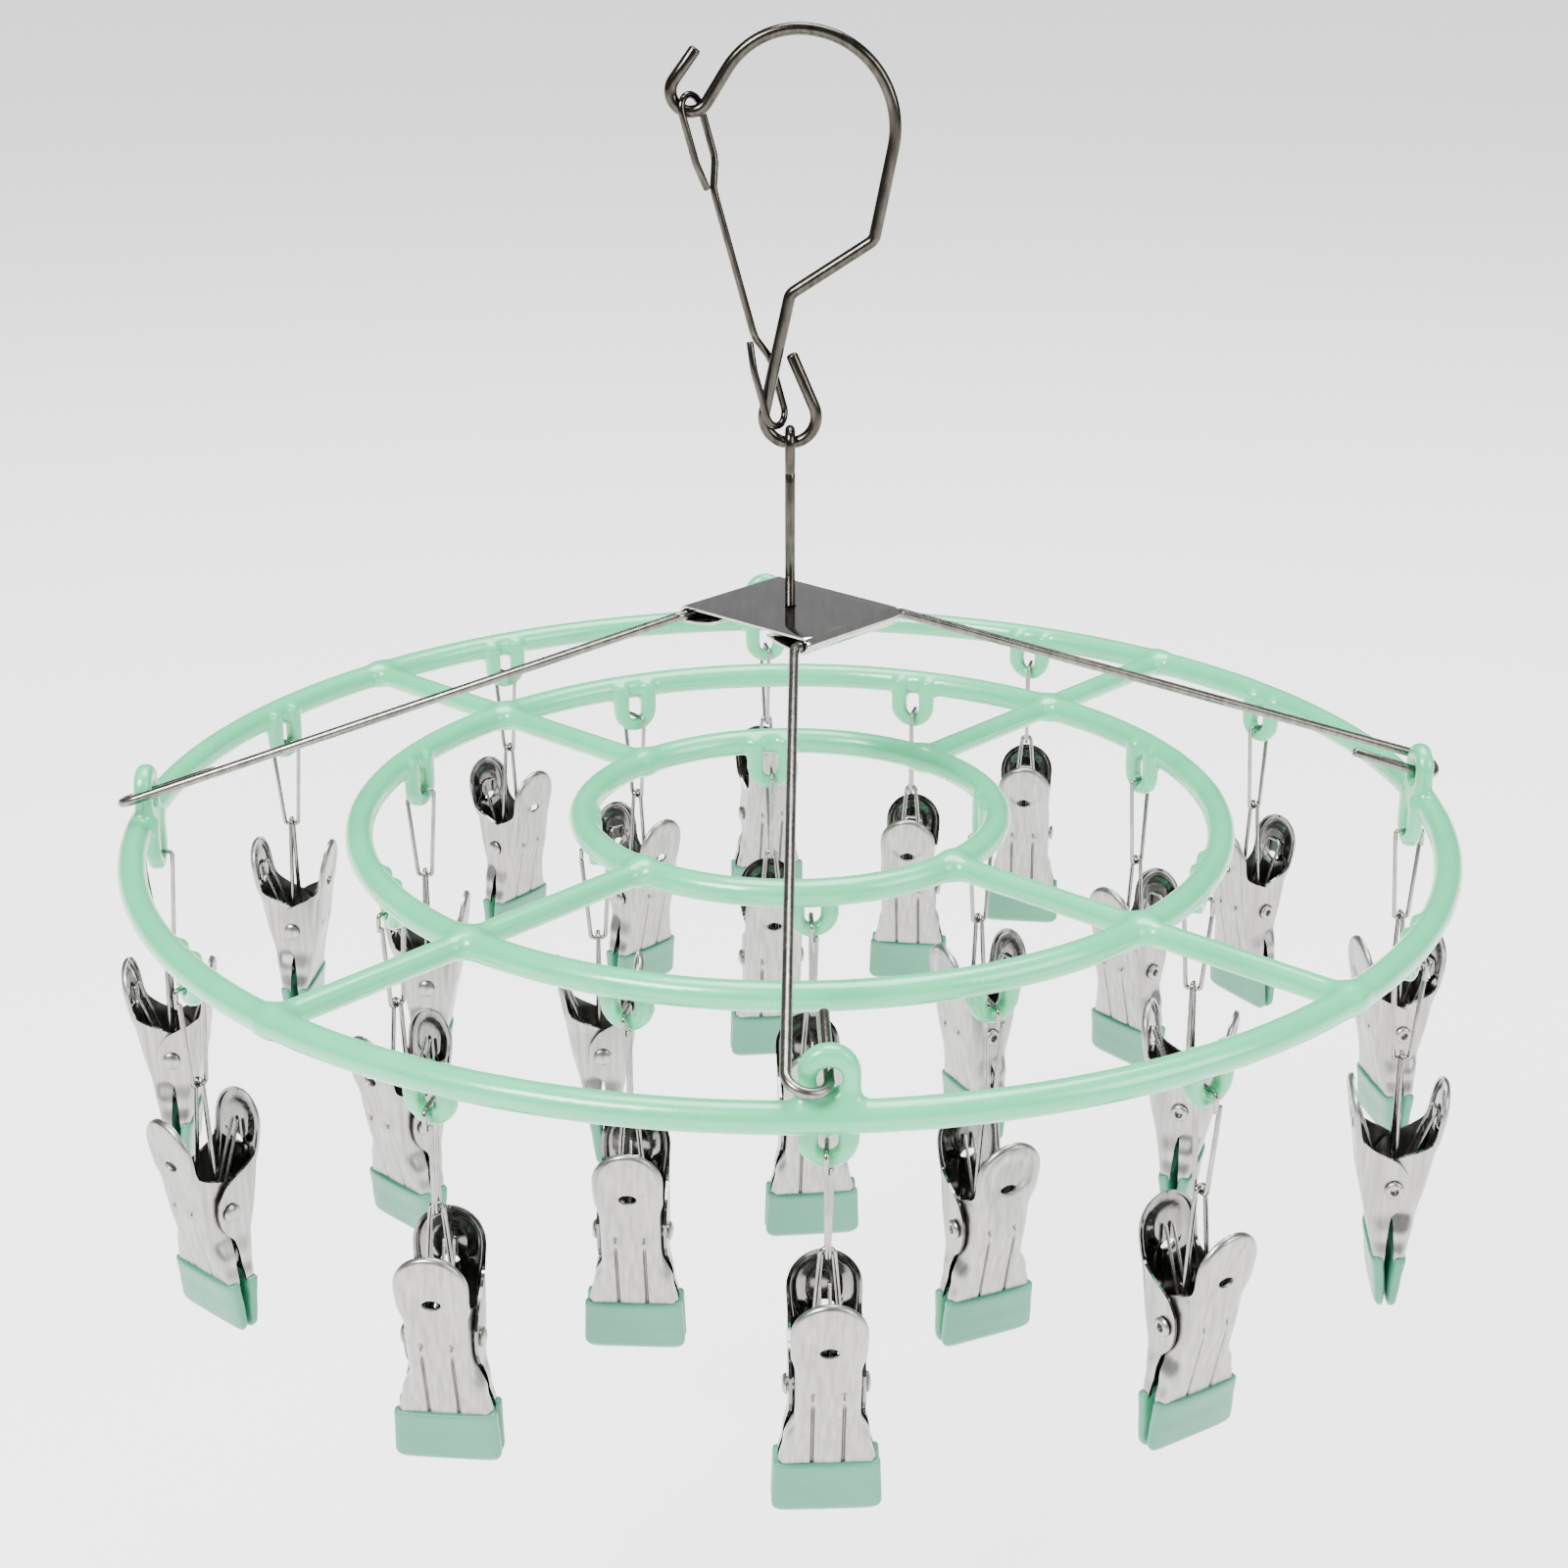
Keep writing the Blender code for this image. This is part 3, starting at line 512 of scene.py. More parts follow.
def hook_path():
    """The hook's wire, from its turned tip over the top and down to the open curl."""
    left = (HOOK_CENTRE_X, HOOK_TOP - HOOK_LEFT_BEND)
    right = (HOOK_CENTRE_X, HOOK_TOP - HOOK_RIGHT_BEND)
    rise = 57.5
    tip_start = 144.6
    back_of_hook = -11.2
    neck_angle = 167.4
    curl_end = 23.2
    curl = (0.0, CURL_HEIGHT)
    path = [TIP_END]
    path += arc(TIP_CENTRE, TIP_BEND, tip_start, 270 + rise, 22)
    path += arc(left, HOOK_LEFT_BEND, 90 + rise, 90, 16)
    path += arc(right, HOOK_RIGHT_BEND, 90, back_of_hook, 28)[1:]
    round_curl = arc(curl, CURL_BEND, neck_angle, 360 + curl_end, 30)
    corners = [upright(*p) for p in (path[-1], HOOK_SHOULDER, HOOK_NECK, round_curl[0])]
    wire = [upright(*p) for p in path[:-1]] + rounded(corners, HOOK_CORNER, 8)[:-1]
    wire += [upright(*p) for p in round_curl]
    along = math.radians(90 + curl_end)
    wire.append(wire[-1] + upright(math.cos(along), math.sin(along)) * CURL_TAIL)
    return wire


def hairpin(end, along, across):
    """Half of the latch: its hairpin, from the free end round to the straight shaft."""
    half = LATCH_HALF_WIDTH
    beside = 2 * LATCH_WIRE + CLEARANCE
    plan = [
        (LATCH_HAIRPIN, -beside),
        (LATCH_STRAIGHT + 1.5 * MM, -half + 0.25 * MM),
        (LATCH_STRAIGHT, -half),
        *arc((half, 0), half, 270, 90, 18),
        (LATCH_STRAIGHT, half),
        (LATCH_STRAIGHT + 1.8 * MM, half - 0.4 * MM),
        (LATCH_HAIRPIN, 0.25 * MM),
        (LATCH_HAIRPIN + 2 * MM, 0),
    ]
    return [end + along * x + across * y for x, y in plan]


def latch_path():
    along = (LATCH_TOP - LATCH_BOTTOM).normalized()
    flat = Vector((along.z, 0, -along.x))
    across = flat * math.cos(LATCH_TURN) + Vector((0, 1, 0)) * math.sin(LATCH_TURN)
    lower = hairpin(LATCH_BOTTOM, along, across)
    upper = hairpin(LATCH_TOP, -along, across)
    return lower + upper[::-1]


def stem_mesh():
    """The stem's wire with its eye, and the upset head under the plate."""
    eye_centre = CURL_HEIGHT - CURL_BEND - 0.1 * MM
    plan = [
        (0, PLATE_TOP - 4 * MM),
        (0, EYE_TAIL_END - 3 * MM),
        (0.3 * MM, EYE_TAIL_END - 1.5 * MM),
        (EYE_RADIUS * 0.9, EYE_TAIL_END + 3.5 * MM),
        *arc((0, eye_centre), EYE_RADIUS, 0, 180, 22),
        (-EYE_RADIUS, EYE_TAIL_END + 3 * MM),
        (-EYE_RADIUS * 0.85, EYE_TAIL_END),
    ]
    wire = wire_mesh("stem_wire_path", [Vector((0, y, z)) for y, z in plan], STEM_WIRE, 18)
    top = PLATE_TOP - PLATE_SHEET - CLEARANCE
    low = top - STEM_HEAD_HEIGHT
    edge = 0.35 * MM
    profile = [
        (low, STEM_HEAD_RADIUS - 2 * edge),
        (low + edge / 2, STEM_HEAD_RADIUS - edge / 2),
        (low + edge, STEM_HEAD_RADIUS),
        (top - edge, STEM_HEAD_RADIUS),
        (top, STEM_HEAD_RADIUS - edge),
    ]
    head = lathe_mesh("stem_head", profile, 28)
    return merged("stem_bend", [(wire, Matrix()), (head, X_TO_Z)])


# ---------------------------------------------------------------- top plate and support wires


def plate_mesh():
    """The plate folded from one sheet, a hem rolled under each side, with the stem's hole."""
    middle = PLATE_TOP - PLATE_SHEET / 2
    centre = (HEM_OFFSET, middle - HEM_RADIUS)
    flap = (HEM_FLAP_END, PLATE_TOP - 2 * PLATE_SHEET - CLEARANCE)
    half = [(share * HEM_OFFSET, middle) for share in (0.0, 0.1, 0.3, 0.5, 0.7, 0.9)]
    half += arc(centre, HEM_RADIUS, 90, -90, 16)
    half.append((0.8 * HEM_OFFSET, centre[1] - 0.8 * HEM_RADIUS))
    half.append((0.6 * HEM_OFFSET, centre[1] - 0.45 * HEM_RADIUS))
    half.append(flap)
    profile = [(-w, z) for w, z in half[:0:-1]] + half
    along = radial(HEM_TURN)
    across = radial(HEM_TURN - math.pi / 2)
    rows = []
    for share in np.linspace(-0.5, 0.5, 9):
        start = along * (share * PLATE_LENGTH)
        rows.append([start + across * w + Vector((0, 0, z)) for w, z in profile])
    solid = thicken(PLATE_SHEET, bevel=0.2 * PLATE_SHEET)
    sheet = evaluated("top_plate_sheet", grid_mesh("plate_middle", rows), solid)
    reach = 2 * PLATE_SHEET
    drill = lathe_mesh("stem_hole", [(-reach, STEM_HOLE_RADIUS), (reach, STEM_HOLE_RADIUS)], 32)
    drill.transform(Matrix.Translation((0, 0, PLATE_TOP)) @ X_TO_Z)
    return cut_mesh("top_plate_sheet", sheet, drill)


def anchor_hairpin(corner, azimuth, side):
    """The wire from a hem's end, past the anchor on one side and back in through its hole."""
    anchor = (RING_RADIUS - ANCHOR_INSET) * MM
    hole = radial(azimuth) * anchor + Vector((0, 0, ANCHOR_HOLE_HEIGHT * MM))
    fall = (corner.z - hole.z) / (anchor - corner.to_2d().length)
    along = (radial(azimuth) - Vector((0, 0, fall))).normalized()
    level = tangential(azimuth)
    lift = along.cross(level)
    across = level * (side * math.cos(HAIRPIN_TILT)) + lift * math.sin(HAIRPIN_TILT)
    turn = hole + along * HAIRPIN_REACH + across * HAIRPIN_RADIUS
    path = [turn + along * y + across * x for x, y in arc((0, 0), HAIRPIN_RADIUS, 0, 180, 24)]
    return path + [hole - along * HAIRPIN_TAIL]


def support_path(turn):
    """One V-shaped wire: a hairpin, the run through the hem, and the other hairpin."""
    along = radial(HEM_TURN + turn)
    across = radial(HEM_TURN + turn - math.pi / 2)
    height = Vector((0, 0, PLATE_TOP - PLATE_SHEET / 2 - HEM_RADIUS))
    reach = along * (PLATE_LENGTH / 2 + SUPPORT_CORNER)
    first = across * HEM_OFFSET - reach + height
    second = across * HEM_OFFSET + reach + height
    quarter = math.pi / 4
    left = anchor_hairpin(first, HEM_TURN + turn - 3 * quarter, -1)
    right = anchor_hairpin(second, HEM_TURN + turn - quarter, 1)
    bends = rounded([left[0], first, second, right[0]], SUPPORT_CORNER, 10)
    return left[:0:-1] + bends + right[1:]


# ---------------------------------------------------------------- ring frame, in millimetres


def blended(first, second, reach):
    """The nearer of two distances, with a fillet of about the reach where they meet."""
    share = np.clip(0.5 + 0.5 * (second - first) / reach, 0, 1)
    return second + (first - second) * share - reach * share * (1 - share)


def folded(x, y, first, count):
    """Distances out and along from the nearest of the places that repeat round the middle."""
    step = 2 * math.pi / count
    turn = (np.arctan2(y, x) - first + step / 2) % step - step / 2
    radius = np.hypot(x, y)
    return radius * np.cos(turn), radius * np.sin(turn)


def slab(outline, offset, thickness, edge):
    """Distance to a plate from the distance to its outline, all its edges rounded."""
    flat = outline + edge
    deep = np.abs(offset) - thickness / 2 + edge
    outside = np.hypot(np.maximum(flat, 0), np.maximum(deep, 0))
    return outside + np.minimum(np.maximum(flat, deep), 0) - edge


def lug_distance(x, y, z, radius, count, first):
    """Distance to one ring's hanging lugs: two round-topped legs with an open slot between."""
    out, across = folded(x, y, first, count)
    leg = (LUG_HALF_WIDTH + SLOT_HALF_WIDTH) / 2
    hump = (LUG_HALF_WIDTH - SLOT_HALF_WIDTH) / 2
    bottom = LUG_BOTTOM + LUG_HALF_WIDTH
    outline = np.hypot(across, np.minimum(z - bottom, 0)) - LUG_HALF_WIDTH
    slot = SLOT_HALF_WIDTH - np.hypot(across, np.minimum(z - SLOT_BOTTOM - SLOT_HALF_WIDTH, 0))
    shoulder = z - LUG_TOP + hump
    top = np.where(shoulder > 0, np.hypot(np.abs(across) - leg, shoulder) - hump, -LUG_HALF_WIDTH)
    outline = np.maximum(np.maximum(outline, slot), top)
    return slab(outline, out - radius + LUG_INSET, LUG_THICKNESS, LUG_EDGE)


def anchor_distance(x, y, z):
    """Distance to the four anchor lugs that stand on the outer ring, each with its hole."""
    out, across = folded(x, y, FRAME_TURN, 4)
    outline = np.hypot(across, np.maximum(z - ANCHOR_TOP + ANCHOR_HALF_WIDTH, 0)) - ANCHOR_HALF_WIDTH
    tall = ANCHOR_HOLE_HALF_HEIGHT - ANCHOR_HOLE_HALF_WIDTH
    hole = np.hypot(across, np.maximum(np.abs(z - ANCHOR_HOLE_HEIGHT) - tall, 0)) - ANCHOR_HOLE_HALF_WIDTH
    outline = np.maximum(np.maximum(outline, -hole), -z)
    return slab(outline, out - RING_RADIUS + ANCHOR_INSET, ANCHOR_THICKNESS, ANCHOR_EDGE)


def frame_distance(points):
    """Distance of each point to the moulding's skin, less than nothing inside it."""
    x, y, z = points.T
    from_axis = np.hypot(x, y)
    tubes = np.full(len(points), np.inf)
    lugs = np.full(len(points), np.inf)
    for radius, count, first in RINGS:
        tubes = np.minimum(tubes, np.hypot(from_axis - radius, z) - TUBE_RADIUS)
        lugs = np.minimum(lugs, lug_distance(x, y, z, radius, count, first))
    out, across = folded(x, y, HEM_TURN, 4)
    beyond = out - np.clip(out, INNER_RADIUS, RING_RADIUS)
    spokes = np.sqrt(beyond**2 + across**2 + z**2) - SPOKE_RADIUS
    body = blended(tubes, spokes, SPOKE_FILLET)
    body = blended(body, lugs, LUG_FILLET)
    return blended(body, anchor_distance(x, y, z), ANCHOR_FILLET)


def frame_mesh():
    """The CAD frame's mesh made even, then drawn onto the moulding's smooth skin."""

    def even(obj):
        remesh = obj.modifiers.new("even", "REMESH")
        remesh.mode = "VOXEL"
        remesh.voxel_size = VOXEL

    mesh = evaluated("ring_frame_moulding", frame["nodes"]["ring_frame"].data.copy(), even)
    mesh.materials.clear()
    mesh.transform(Matrix.Translation((0, 0, -RING_Z)))
    points = np.empty(len(mesh.vertices) * 3)
    mesh.vertices.foreach_get("co", points)
    points = points.reshape(-1, 3) / MM
    step = 0.01
    furthest = 0.8
    flattest = 0.5
    for _ in range(6):
        distance = frame_distance(points)
        slope = np.empty_like(points)
        for axis in range(3):
            moved = points.copy()
            moved[:, axis] += step
            slope[:, axis] = (frame_distance(moved) - distance) / step
        steepness = np.maximum((slope**2).sum(axis=1), flattest**2)
        points -= slope * (np.clip(distance, -furthest, furthest) / steepness)[:, None]
    mesh.vertices.foreach_set("co", (points * MM).ravel())
    mesh.update()
    return mesh


# ---------------------------------------------------------------- clip


def jaw_line(z):
    """How far the middle of a jaw's sheet is from the clip's middle, at the height."""
    if z > 0:
        return JAW_WAIST + (JAW_SPREAD - JAW_WAIST) * z / JAW_TOP
    return max(JAW_CLOSED, JAW_WAIST + (JAW_CLOSED - JAW_WAIST) * z / JAW_CLOSED_HEIGHT)


def jaw_half_width(z, cheek):
    """Half of the jaw's width at the height: round thumb, neck, cheeks, flare to the tip."""
    if z > THUMB_CENTRE:
        return math.sqrt(max(0.0, THUMB_RADIUS**2 - (z - THUMB_CENTRE) ** 2))
    flare = [(-18.0, 10.0), (-12.5, 8.9)]
    cheeks = [(-6.0, cheek), (7.0, cheek)]
    neck = [(12.5, 7.6), (THUMB_CENTRE, THUMB_RADIUS)]
    return eased(z, flare + cheeks + neck)


def cheek_edge(z):
    """How far towards the other jaw a cheek reaches at the height."""
    heights = (-21.0, -18.0, -13.0, -9.5, -7.4, -5.6, -3.0, 0.0, 3.5, 6.8, 8.4, 9.8, 12.4)
    reaches = (1.25, 1.1, 0.8, 0.5, 0.1, -1.7, -3.1, -3.6, -3.2, -1.0, 1.8, 5.0, 9.0)
    if z > heights[-1]:
        return 20.0
    return float(np.interp(z, heights, reaches))


def pressed(x, z):
    """Depth of the thumb's dish, of the two ribs and of the dimple at the top of each."""
    across = abs(x) - RIB_REACH / 2
    run = eased(z, [(-19.0, 0.6), (-15.5, 1.0), (-2.0, 1.0), (1.0, 0.0)])
    rib = RIB_DEPTH * math.exp(-((across / RIB_WIDTH) ** 4)) * run
    from_dimple = across**2 + (z - DIMPLE_HEIGHT) ** 2
    dimple = DIMPLE_DEPTH * math.exp(-from_dimple / DIMPLE_SPREAD)
    dish = eased(math.hypot(x, z - THUMB_CENTRE), [(4.4, DISH_DEPTH), (5.6, 0.0)])
    return rib + dimple + dish


def jaw_row(z, cheek):
    """One row of the sheet's middle, from the edge of one flange to the edge of the other."""
    half = jaw_half_width(z, cheek)
    line = jaw_line(z)
    radius = eased(z, [(-18.0, 0.9), (-9.0, 2.2), (9.0, 2.2), (14.0, RIM_RADIUS)])
    to_rib = (0, 0.15, 0.3, 0.4, 0.43, 0.46, 0.5, 0.54, 0.57, 0.6)
    to_rim = (0.7, 0.8, 0.87, 0.92, 0.96, 0.985, 1)
    columns = [min(half, RIB_REACH) * share for share in to_rib]
    columns += [half * share for share in to_rim]
    points = []
    for x in columns:
        to_edge = half - x
        if z > THUMB_CENTRE:
            to_edge = THUMB_RADIUS - math.hypot(x, z - THUMB_CENTRE)
        points.append((x, line - drawn_in(to_edge, radius) - pressed(x, z), z))
    edge = points[-1][1]
    end = min(edge - RIM_LIP, cheek_edge(z))
    for share in (0.2, 0.45, 0.7, 1.0):
        points.append((half, edge + (end - edge) * share, z))
    mirrored = [(-x, y, z) for x, y, z in points[:0:-1]]
    return [Vector(p) * MM for p in mirrored + points]


def jaw_mesh(name, cheek):
    """A jaw pressed from one sheet: round thumb with a turned rim, cheeks, ribs and flare."""
    neck = 12.8
    thumb_foot = 13.9
    round_thumb = (10, 20, 30, 39, 48, 56, 63, 69, 74, 79, 83, 87)
    heights = [*np.linspace(JAW_FOOT, neck, 42), *np.linspace(thumb_foot, THUMB_CENTRE, 6)]
    heights += [THUMB_CENTRE + THUMB_RADIUS * math.sin(math.radians(a)) for a in round_thumb]
    rows = [jaw_row(z, cheek) for z in heights]
    sheet = evaluated(name, grid_mesh(name, rows), thicken(JAW_SHEET))
    reach = 3 * MM
    drill = lathe_mesh("thumb_hole", [(-reach, HOLE_RADIUS * MM), (reach, HOLE_RADIUS * MM)], 24)
    oval = Matrix.Diagonal((1, HOLE_STRETCH, 1, 1))
    through = Matrix.Rotation(math.pi / 2, 4, "Z")
    place = Matrix.Translation((0, jaw_line(HOLE_HEIGHT) * MM, HOLE_HEIGHT * MM))
    drill.transform(place @ through @ oval)
    return cut_mesh(name, sheet, drill)


def faces_inside(mesh):
    """Gives the second material, polished steel whose darker colour is painted shade, to the faces that
    look at the other jaw.
    """
    inward = -0.45
    for face in mesh.polygons:
        if face.normal.y < inward:
            face.material_index = 1


def tip_ring(z, sides):
    """The dipped tip's outline at the height: a flat oval with soft corners."""
    rise = (z - TIP_BOTTOM) / (TIP_TOP - TIP_BOTTOM)
    outer = eased(z, [(TIP_BOTTOM, 2.0), (-29.2, 2.9), (-24.0, 3.55), (TIP_TOP, 4.4)])
    inner = eased(z, [(TIP_BOTTOM, 0.5), (-29.8, 0.15), (-26.0, 0.15), (TIP_TOP, 0.8)])
    lip = drawn_in(TIP_TOP - z, TIP_LIP)
    foot = drawn_in(z - TIP_BOTTOM, TIP_EDGE)
    half = TIP_HALF_BOTTOM + (TIP_HALF_TOP - TIP_HALF_BOTTOM) * rise
    half -= drawn_in(z - TIP_BOTTOM, TIP_CORNER) + 0.6 * lip
    middle = (outer + inner) / 2
    depth = max(0.25, (outer - inner) / 2 - 0.62 * (lip + foot))
    end = min(depth, 1.0)
    climb = max(0.0, rise - 0.55)
    ring = []
    for k in range(sides):
        angle = 2 * math.pi * k / sides
        along = math.cos(angle)
        out = math.sin(angle)
        reach = half - end + end * abs(along) ** 0.8
        x = math.copysign(reach * abs(along) ** 0.33, along)
        y = middle + math.copysign(depth * abs(out) ** 0.55, out)
        lift = climb * (x / TIP_HALF_TOP) ** 2
        ring.append(Vector((x, y, z + lift)) * MM)
    return ring


def tip_mesh(name):
    """A dipped tip: a soft block, a little wider than the metal, thick where it ends."""
    sides = 44
    margin = 1.2
    corner = [TIP_CORNER * (1 - math.cos(math.radians(a))) for a in range(0, 91, 15)]
    heights = [TIP_BOTTOM + rise for rise in corner]
    heights += list(np.linspace(TIP_BOTTOM + TIP_CORNER + margin, TIP_TOP - margin, 8))
    heights += [TIP_TOP - drop for drop in (TIP_LIP, 0.3, 0.08, 0.0)]
    verts = [point for z in heights for point in tip_ring(z, sides)]
    return mesh_of(name, verts, ringed_faces(len(heights), sides))


def rivet_mesh():
    """A tubular rivet: a domed head on one side, a rolled end with its hole on the other."""
    shoulder = RIVET_HALF - 0.95
    under_head = RIVET_HEAD_RADIUS - 0.1
    dome = [(0.0, 0.3), (0.05, 0.9), (0.2, 1.5), (0.45, 2.0), (0.7, RIVET_HEAD_RADIUS)]
    rolled = [(0.7, RIVET_HEAD_RADIUS), (0.35, 2.1), (0.1, 1.75), (0.0, 1.4)]
    bore = [(0.15, 1.05), (0.5, 0.9), (1.8, 0.85), (1.85, 0.3)]
    profile = [(depth - RIVET_HALF, radius) for depth, radius in dome]
    profile += [(-shoulder, under_head), (-shoulder, RIVET_RADIUS)]
    profile += [(shoulder, RIVET_RADIUS), (shoulder, under_head)]
    profile += [(RIVET_HALF - depth, radius) for depth, radius in rolled + bore]
    return lathe_mesh("clip_rivet", [(x * MM, radius * MM) for x, radius in profile], 24)


def upper_link_mesh():
    """A loop of wire whose two ends lie side by side near the top of its outer strand."""
    beside = LINK_WIRE * 0.97
    top = UPPER_LINK_TOP_HALF
    foot = UPPER_LINK_BOTTOM_HALF
    corners = [
        Vector((beside, top, -4.6 * MM)),
        Vector((beside, top, 0)),
        Vector((0, -top, 0)),
        Vector((0, -foot, -UPPER_LINK_DROP)),
        Vector((0, foot, -UPPER_LINK_DROP)),
        Vector((-beside, top, -3.0 * MM)),
    ]
    return wire_mesh("clip_loop_upper", rounded(corners, LINK_CORNER, 6), LINK_WIRE, 10)


def lower_link_mesh():
    """An inverted U hooked over the upper link, with an eye round the rivet at each foot."""
    top = RIVET_DROP - UPPER_LINK_DROP + 2 * LINK_WIRE + CLEARANCE
    half = LOWER_LINK_TOP_HALF
    foot = LOWER_LINK_BOTTOM_HALF
    eye = RIVET_RADIUS * MM + LINK_WIRE + CLEARANCE

    def leg(side):
        turned = arc((0, 0), eye, -110, 70, 14)
        points = [Vector((side * foot, y, z)) for y, z in turned]
        return points + [Vector((side * foot * 0.98, 0.5 * MM, eye + 2.2 * MM))]

    over = [upright(x, z) for x, z in arc((0, top - half), half, 12, 168, 12)]
    return wire_mesh("clip_loop_lower", leg(1) + over + leg(-1)[::-1], LINK_WIRE, 10)


def spring_mesh():
    """A double torsion spring: a U-shaped arm on jaw a, two coils and two free arms on jaw b."""
    steps = 16
    turns = 1.5
    inner = 1.1 * MM
    outer = inner + SPRING_PITCH * turns
    end = Vector((0, SPRING_REACH, SPRING_ARM))
    foot = Vector((0, SPRING_COIL, 0))
    free_end = Vector((0, -SPRING_REACH, SPRING_ARM))

    def coil(side):
        points = []
        for i in range(round(turns * steps) + 1):
            angle = math.pi + 2 * math.pi * i / steps
            x = side * (inner + SPRING_PITCH * i / steps)
            points.append(Vector((x, SPRING_COIL * math.cos(angle), SPRING_COIL * math.sin(angle))))
        return points

    def at(x, point):
        return Vector((x, point.y, point.z))

    corners = [at(-outer, foot), at(-outer, end), at(outer, end), at(outer, foot)]
    arm = rounded(corners, SPRING_CORNER, 6)[1:-1]
    path = [at(-inner, free_end)] + coil(-1) + arm + coil(1)[::-1] + [at(inner, free_end)]
    return wire_mesh("clip_coil", path, SPRING_WIRE, 10)


def clip_axes(joint):
    """A clip's own frame at its swing joint: Y along the joint, Z up."""
    out = Vector(joint["axis"]).normalized()
    along = Vector((out.y, -out.x, 0))
    axes = Matrix((along, out, (0, 0, 1))).transposed()
    return Matrix.Translation(Vector(joint["pos_m"])) @ axes.to_4x4()


def clip_shapes():
    """The meshes that all clips share."""
    shapes = {
        "sheet_a": jaw_mesh("clip_sheet_a", CHEEK_A),
        "sheet_b": jaw_mesh("clip_sheet_b", CHEEK_B),
        "dip": tip_mesh("clip_dip"),
        "rivet": rivet_mesh(),
        "loop_upper": upper_link_mesh(),
        "loop_lower": lower_link_mesh(),
        "coil": spring_mesh(),
    }
    faces_inside(shapes["sheet_a"])
    faces_inside(shapes["sheet_b"])
    return shapes


def build_spring(name, mesh, centre, nodes):
    """A clip's spring, set at its rivet with its placing baked into the mesh."""
    mesh = mesh.copy()
    mesh.name = name + "_coil"
    spring = shown(name + "_coil", mesh, [SPRING_STEEL], centre)
    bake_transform(spring)
    if nodes:
        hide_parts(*nodes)


def build_clip(name, joints, shapes):
    """One clip. Only the front one has its links, tips and spring as CAD nodes of their own."""
    whole = name + "_link_swing" in joints
    swing = clip_axes(joints[name + ("_link_swing" if whole else "_swing")])
    centre = swing @ Matrix.Translation((0, 0, -RIVET_DROP))
    turned = centre @ Matrix.Rotation(math.pi, 4, "Z")
    upper_body = name + "_link_upper" if whole else name
    lower_body = name + "_link_lower" if whole else name
    jaw_body = name + "_jaw"
    # The second finish goes on the faces between the jaws: polished steel, darker than the first as
    # painted shade.
    steel = [STAMPED, POLISHED_AND_SHADED]

    def add(kind, shape, finishes, body, slot, matrix, nodes=()):
        piece(f"{name}_{kind}", shapes[shape], finishes, body, matrix, nodes)

    def own(part):
        return [f"{name}_{part}"] if whole else ()

    wire = [BRIGHT_WIRE]
    add("loop_upper", "loop_upper", wire, upper_body, "link_wire", swing, own("link_upper"))
    add("loop_lower", "loop_lower", wire, lower_body, "link_wire", centre, own("link_lower"))
    add("sheet_a", "sheet_a", steel, name, "jaw_sheet", centre, [name + "_jaw_a"])
    add("dip_a", "dip", [VINYL], name, "dipped_tip", centre, own("tip_a"))
    add("rivet", "rivet", [STAMPED], name, "jaw_sheet", centre)
    build_spring(name, shapes["coil"], centre, own("spring"))
    add("sheet_b", "sheet_b", steel, jaw_body, "jaw_sheet", turned, [name + "_jaw_b"])
    add("dip_b", "dip", [VINYL], jaw_body, "dipped_tip", turned, own("tip_b"))


def build_clips():
    joints = {joint["name"]: joint for joint in frame["joints"]}
    shapes = clip_shapes()
    suffix = "_open"
    for name in sorted(joint[: -len(suffix)] for joint in joints if joint.endswith(suffix)):
        build_clip(name, joints, shapes)


# ---------------------------------------------------------------- camera and light


def build_floor():
    """A pale floor far below, with slow swells."""
    rows = []
    for y in np.linspace(-1, 1, 9):
        row = []
        for x in np.linspace(-1, 1, 9):
            swell = FLOOR_SWELL * math.sin(2 * x) * math.cos(2 * y)
            row.append((x * FLOOR_REACH, y * FLOOR_REACH, swell))
        rows.append(row)
    floor = grid_mesh("pale_floor", rows)
    floor.materials.append(floor_finish())
    floor.shade_smooth()
    obj = bpy.data.objects.new("pale_floor", floor)
    obj.location = (0, 0, FLOOR_HEIGHT)
    bpy.context.scene.collection.objects.link(obj)


def build_light():
    """Even daylight, and three soft lamps: name, place, side in metres and power in watts."""
    world = bpy.data.worlds.new("studio")
    bpy.context.scene.world = world
    world.use_nodes = True
    daylight = world.node_tree.nodes["Background"]
    daylight.inputs["Color"].default_value = (0.95, 0.97, 1.0, 1)
    daylight.inputs["Strength"].default_value = 0.3
    lamps = (
        ("key", (-1.1, -1.3, 1.5), 0.9, 120),
        ("fill", (1.6, -0.9, 0.7), 1.0, 30),
        ("top", (0.2, 0.5, 1.9), 1.4, 95),
    )
    for name, place, size, power in lamps:
        lamp = bpy.data.lights.new(name, "AREA")
        lamp.size = size
        lamp.energy = power
        light = bpy.data.objects.new(name, lamp)
        light.location = place
        aim = Vector((0, 0, RING_Z)) - Vector(place)
        light.rotation_euler = aim.to_track_quat("-Z", "Y").to_euler()
        bpy.context.scene.collection.objects.link(light)


def build_camera():
    """The photograph's camera, fitted to the rings, the hook and the plate."""
    tilt = 0.377276
    distance = 0.67133
    lens = bpy.data.cameras.new("photo_camera")
    lens.sensor_width = 36.0
    lens.lens = 59.293
    lens.shift_x = -0.003854
    lens.shift_y = 0.01733
    lens.clip_start = 0.02
    lens.clip_end = 50.0
    camera = bpy.data.objects.new("photo_camera", lens)
    camera.location = (0, -distance * math.cos(tilt), RING_Z + distance * math.sin(tilt))
    camera.rotation_euler = (math.pi / 2 - tilt, 0, 0)
    bpy.context.scene.collection.objects.link(camera)
    bpy.context.scene.camera = camera


# ---------------------------------------------------------------- the hanger

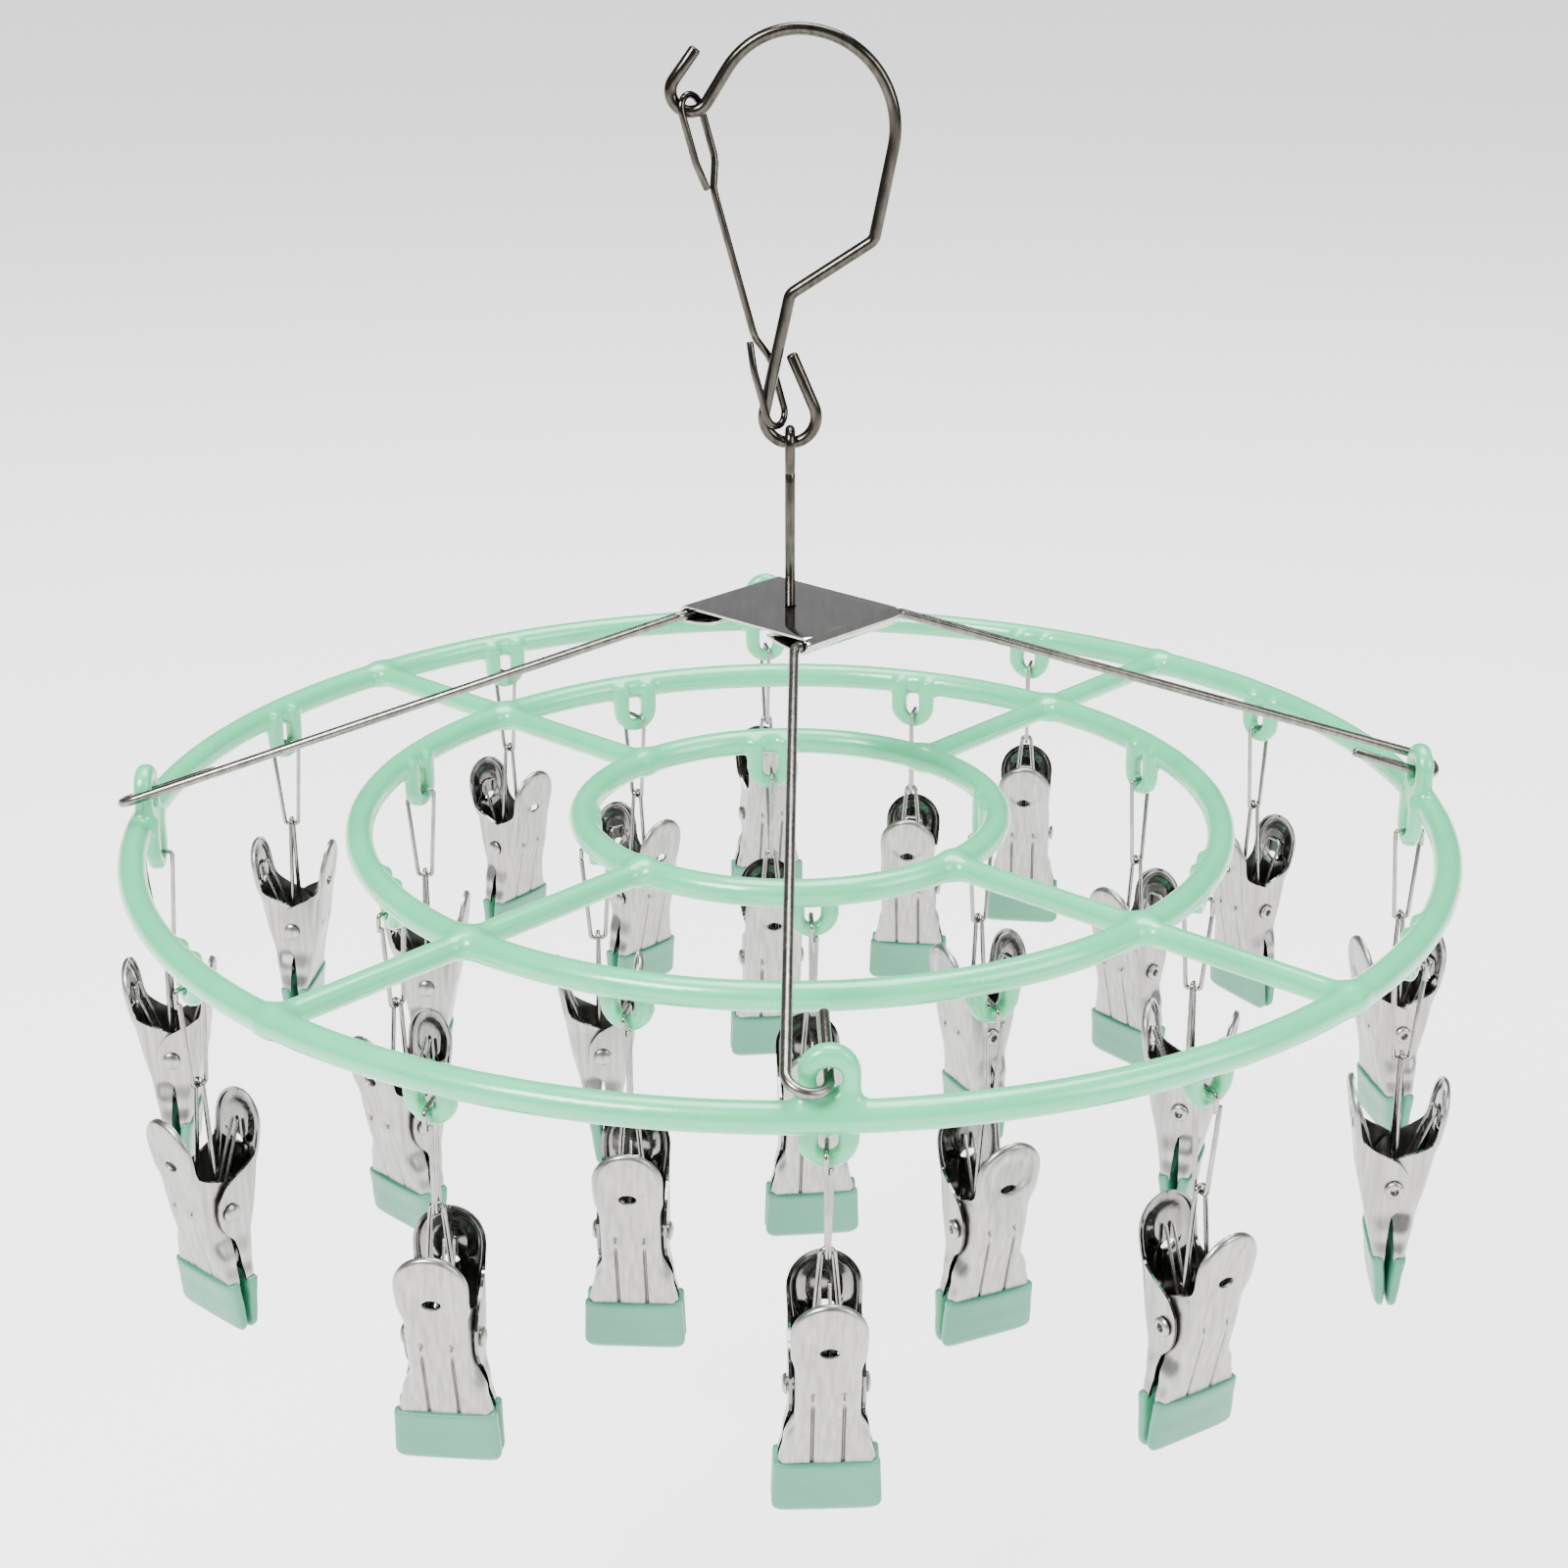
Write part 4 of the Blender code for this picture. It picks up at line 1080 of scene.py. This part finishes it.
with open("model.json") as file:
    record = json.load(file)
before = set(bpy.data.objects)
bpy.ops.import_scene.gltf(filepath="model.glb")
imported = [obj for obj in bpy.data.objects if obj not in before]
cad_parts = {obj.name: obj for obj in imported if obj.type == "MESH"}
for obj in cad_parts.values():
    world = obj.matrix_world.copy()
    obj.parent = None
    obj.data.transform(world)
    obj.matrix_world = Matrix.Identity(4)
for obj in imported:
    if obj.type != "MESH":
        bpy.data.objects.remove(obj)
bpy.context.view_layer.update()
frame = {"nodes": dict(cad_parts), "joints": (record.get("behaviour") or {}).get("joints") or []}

SATIN_WIRE = steel_finish(
    "satin_wire",
    colours=((0.15, 0.14, 0.125), (0.26, 0.245, 0.22)),
    roughness=(0.2, 0.32),
    scale=700,
    stretch=(1, 1, 0.25),
    depth=0.01 * MM,
)
# The hook's, latch's and stem's steel: its very dark colour is painted shade, standing in for the dark
# surroundings the wire reflects.
DARK_SHADED_WIRE = steel_finish(
    "dark_wire",
    colours=((0.04, 0.036, 0.03), (0.085, 0.078, 0.066)),
    roughness=(0.14, 0.24),
    scale=700,
    stretch=(1, 1, 0.25),
    depth=0.01 * MM,
)
BRIGHT_WIRE = steel_finish(
    "bright_wire",
    colours=((0.24, 0.23, 0.215), (0.38, 0.365, 0.34)),
    roughness=(0.16, 0.3),
    scale=800,
    stretch=(1, 1, 0.3),
    depth=0.008 * MM,
)
PLATE_STEEL = steel_finish(
    "polished_plate",
    colours=((0.58, 0.57, 0.54), (0.68, 0.665, 0.63)),
    roughness=(0.07, 0.16),
    scale=500,
    stretch=(1, 0.1, 1),
    depth=0.003 * MM,
)
STAMPED = steel_finish(
    "stamped_steel",
    colours=((0.27, 0.262, 0.247), (0.4, 0.388, 0.37)),
    roughness=(0.26, 0.4),
    scale=900,
    stretch=(1, 1, 0.06),
    depth=0.006 * MM,
    wave=0.12 * MM,
)
# Polished steel for the faces between the jaws: the low roughness is its polish, and its darker colour
# than the stamped steel is painted shade.
POLISHED_AND_SHADED = steel_finish(
    "polished_inside",
    colours=((0.14, 0.135, 0.13), (0.24, 0.235, 0.23)),
    roughness=(0.06, 0.16),
    scale=500,
    stretch=(1, 1, 0.1),
    depth=0.004 * MM,
    wave=0.2 * MM,
)
SPRING_STEEL = steel_finish(
    "spring_steel",
    colours=((0.34, 0.33, 0.32), (0.50, 0.49, 0.47)),
    roughness=(0.2, 0.34),
    scale=800,
    stretch=(1, 1, 1),
    depth=0.008 * MM,
)
MINT = vinyl_finish(
    "mint_moulding",
    colours=((0.05, 0.49, 0.22), (0.064, 0.55, 0.25)),
    roughness=(0.26, 0.36),
    depth=0.01 * MM,
    coat=0.7,
)
VINYL = vinyl_finish(
    "dipped_vinyl",
    colours=((0.036, 0.215, 0.125), (0.048, 0.25, 0.148)),
    roughness=(0.34, 0.46),
    depth=0.04 * MM,
    coat=0.1,
)

hook = wire_mesh("hook_bend", hook_path(), HOOK_WIRE, 20)
latch = wire_mesh("latch_bend", latch_path(), LATCH_WIRE, 16)
# The hook, latch and stem wear the wire steel darkened as painted shade.
piece("hook_bend", hook, [DARK_SHADED_WIRE], "hook", nodes=["hook"])
piece("latch_bend", latch, [DARK_SHADED_WIRE], "latch", nodes=["latch"])
piece("stem_bend", stem_mesh(), [DARK_SHADED_WIRE], "stem", nodes=["stem"])
piece("top_plate_sheet", plate_mesh(), [PLATE_STEEL], "top_plate", nodes=["top_plate"])
for wire, turn in (("support_wire_a", 0.0), ("support_wire_b", math.pi)):
    bend = wire_mesh(wire + "_bend", support_path(turn), SUPPORT_WIRE, 16)
    piece(wire + "_bend", bend, [SATIN_WIRE], wire, nodes=[wire])
moulding = frame_mesh()
piece("ring_frame_moulding", moulding, [MINT], "ring_frame", nodes=["ring_frame"])
build_clips()
build_floor()
build_light()
build_camera()

bpy.context.view_layer.update()
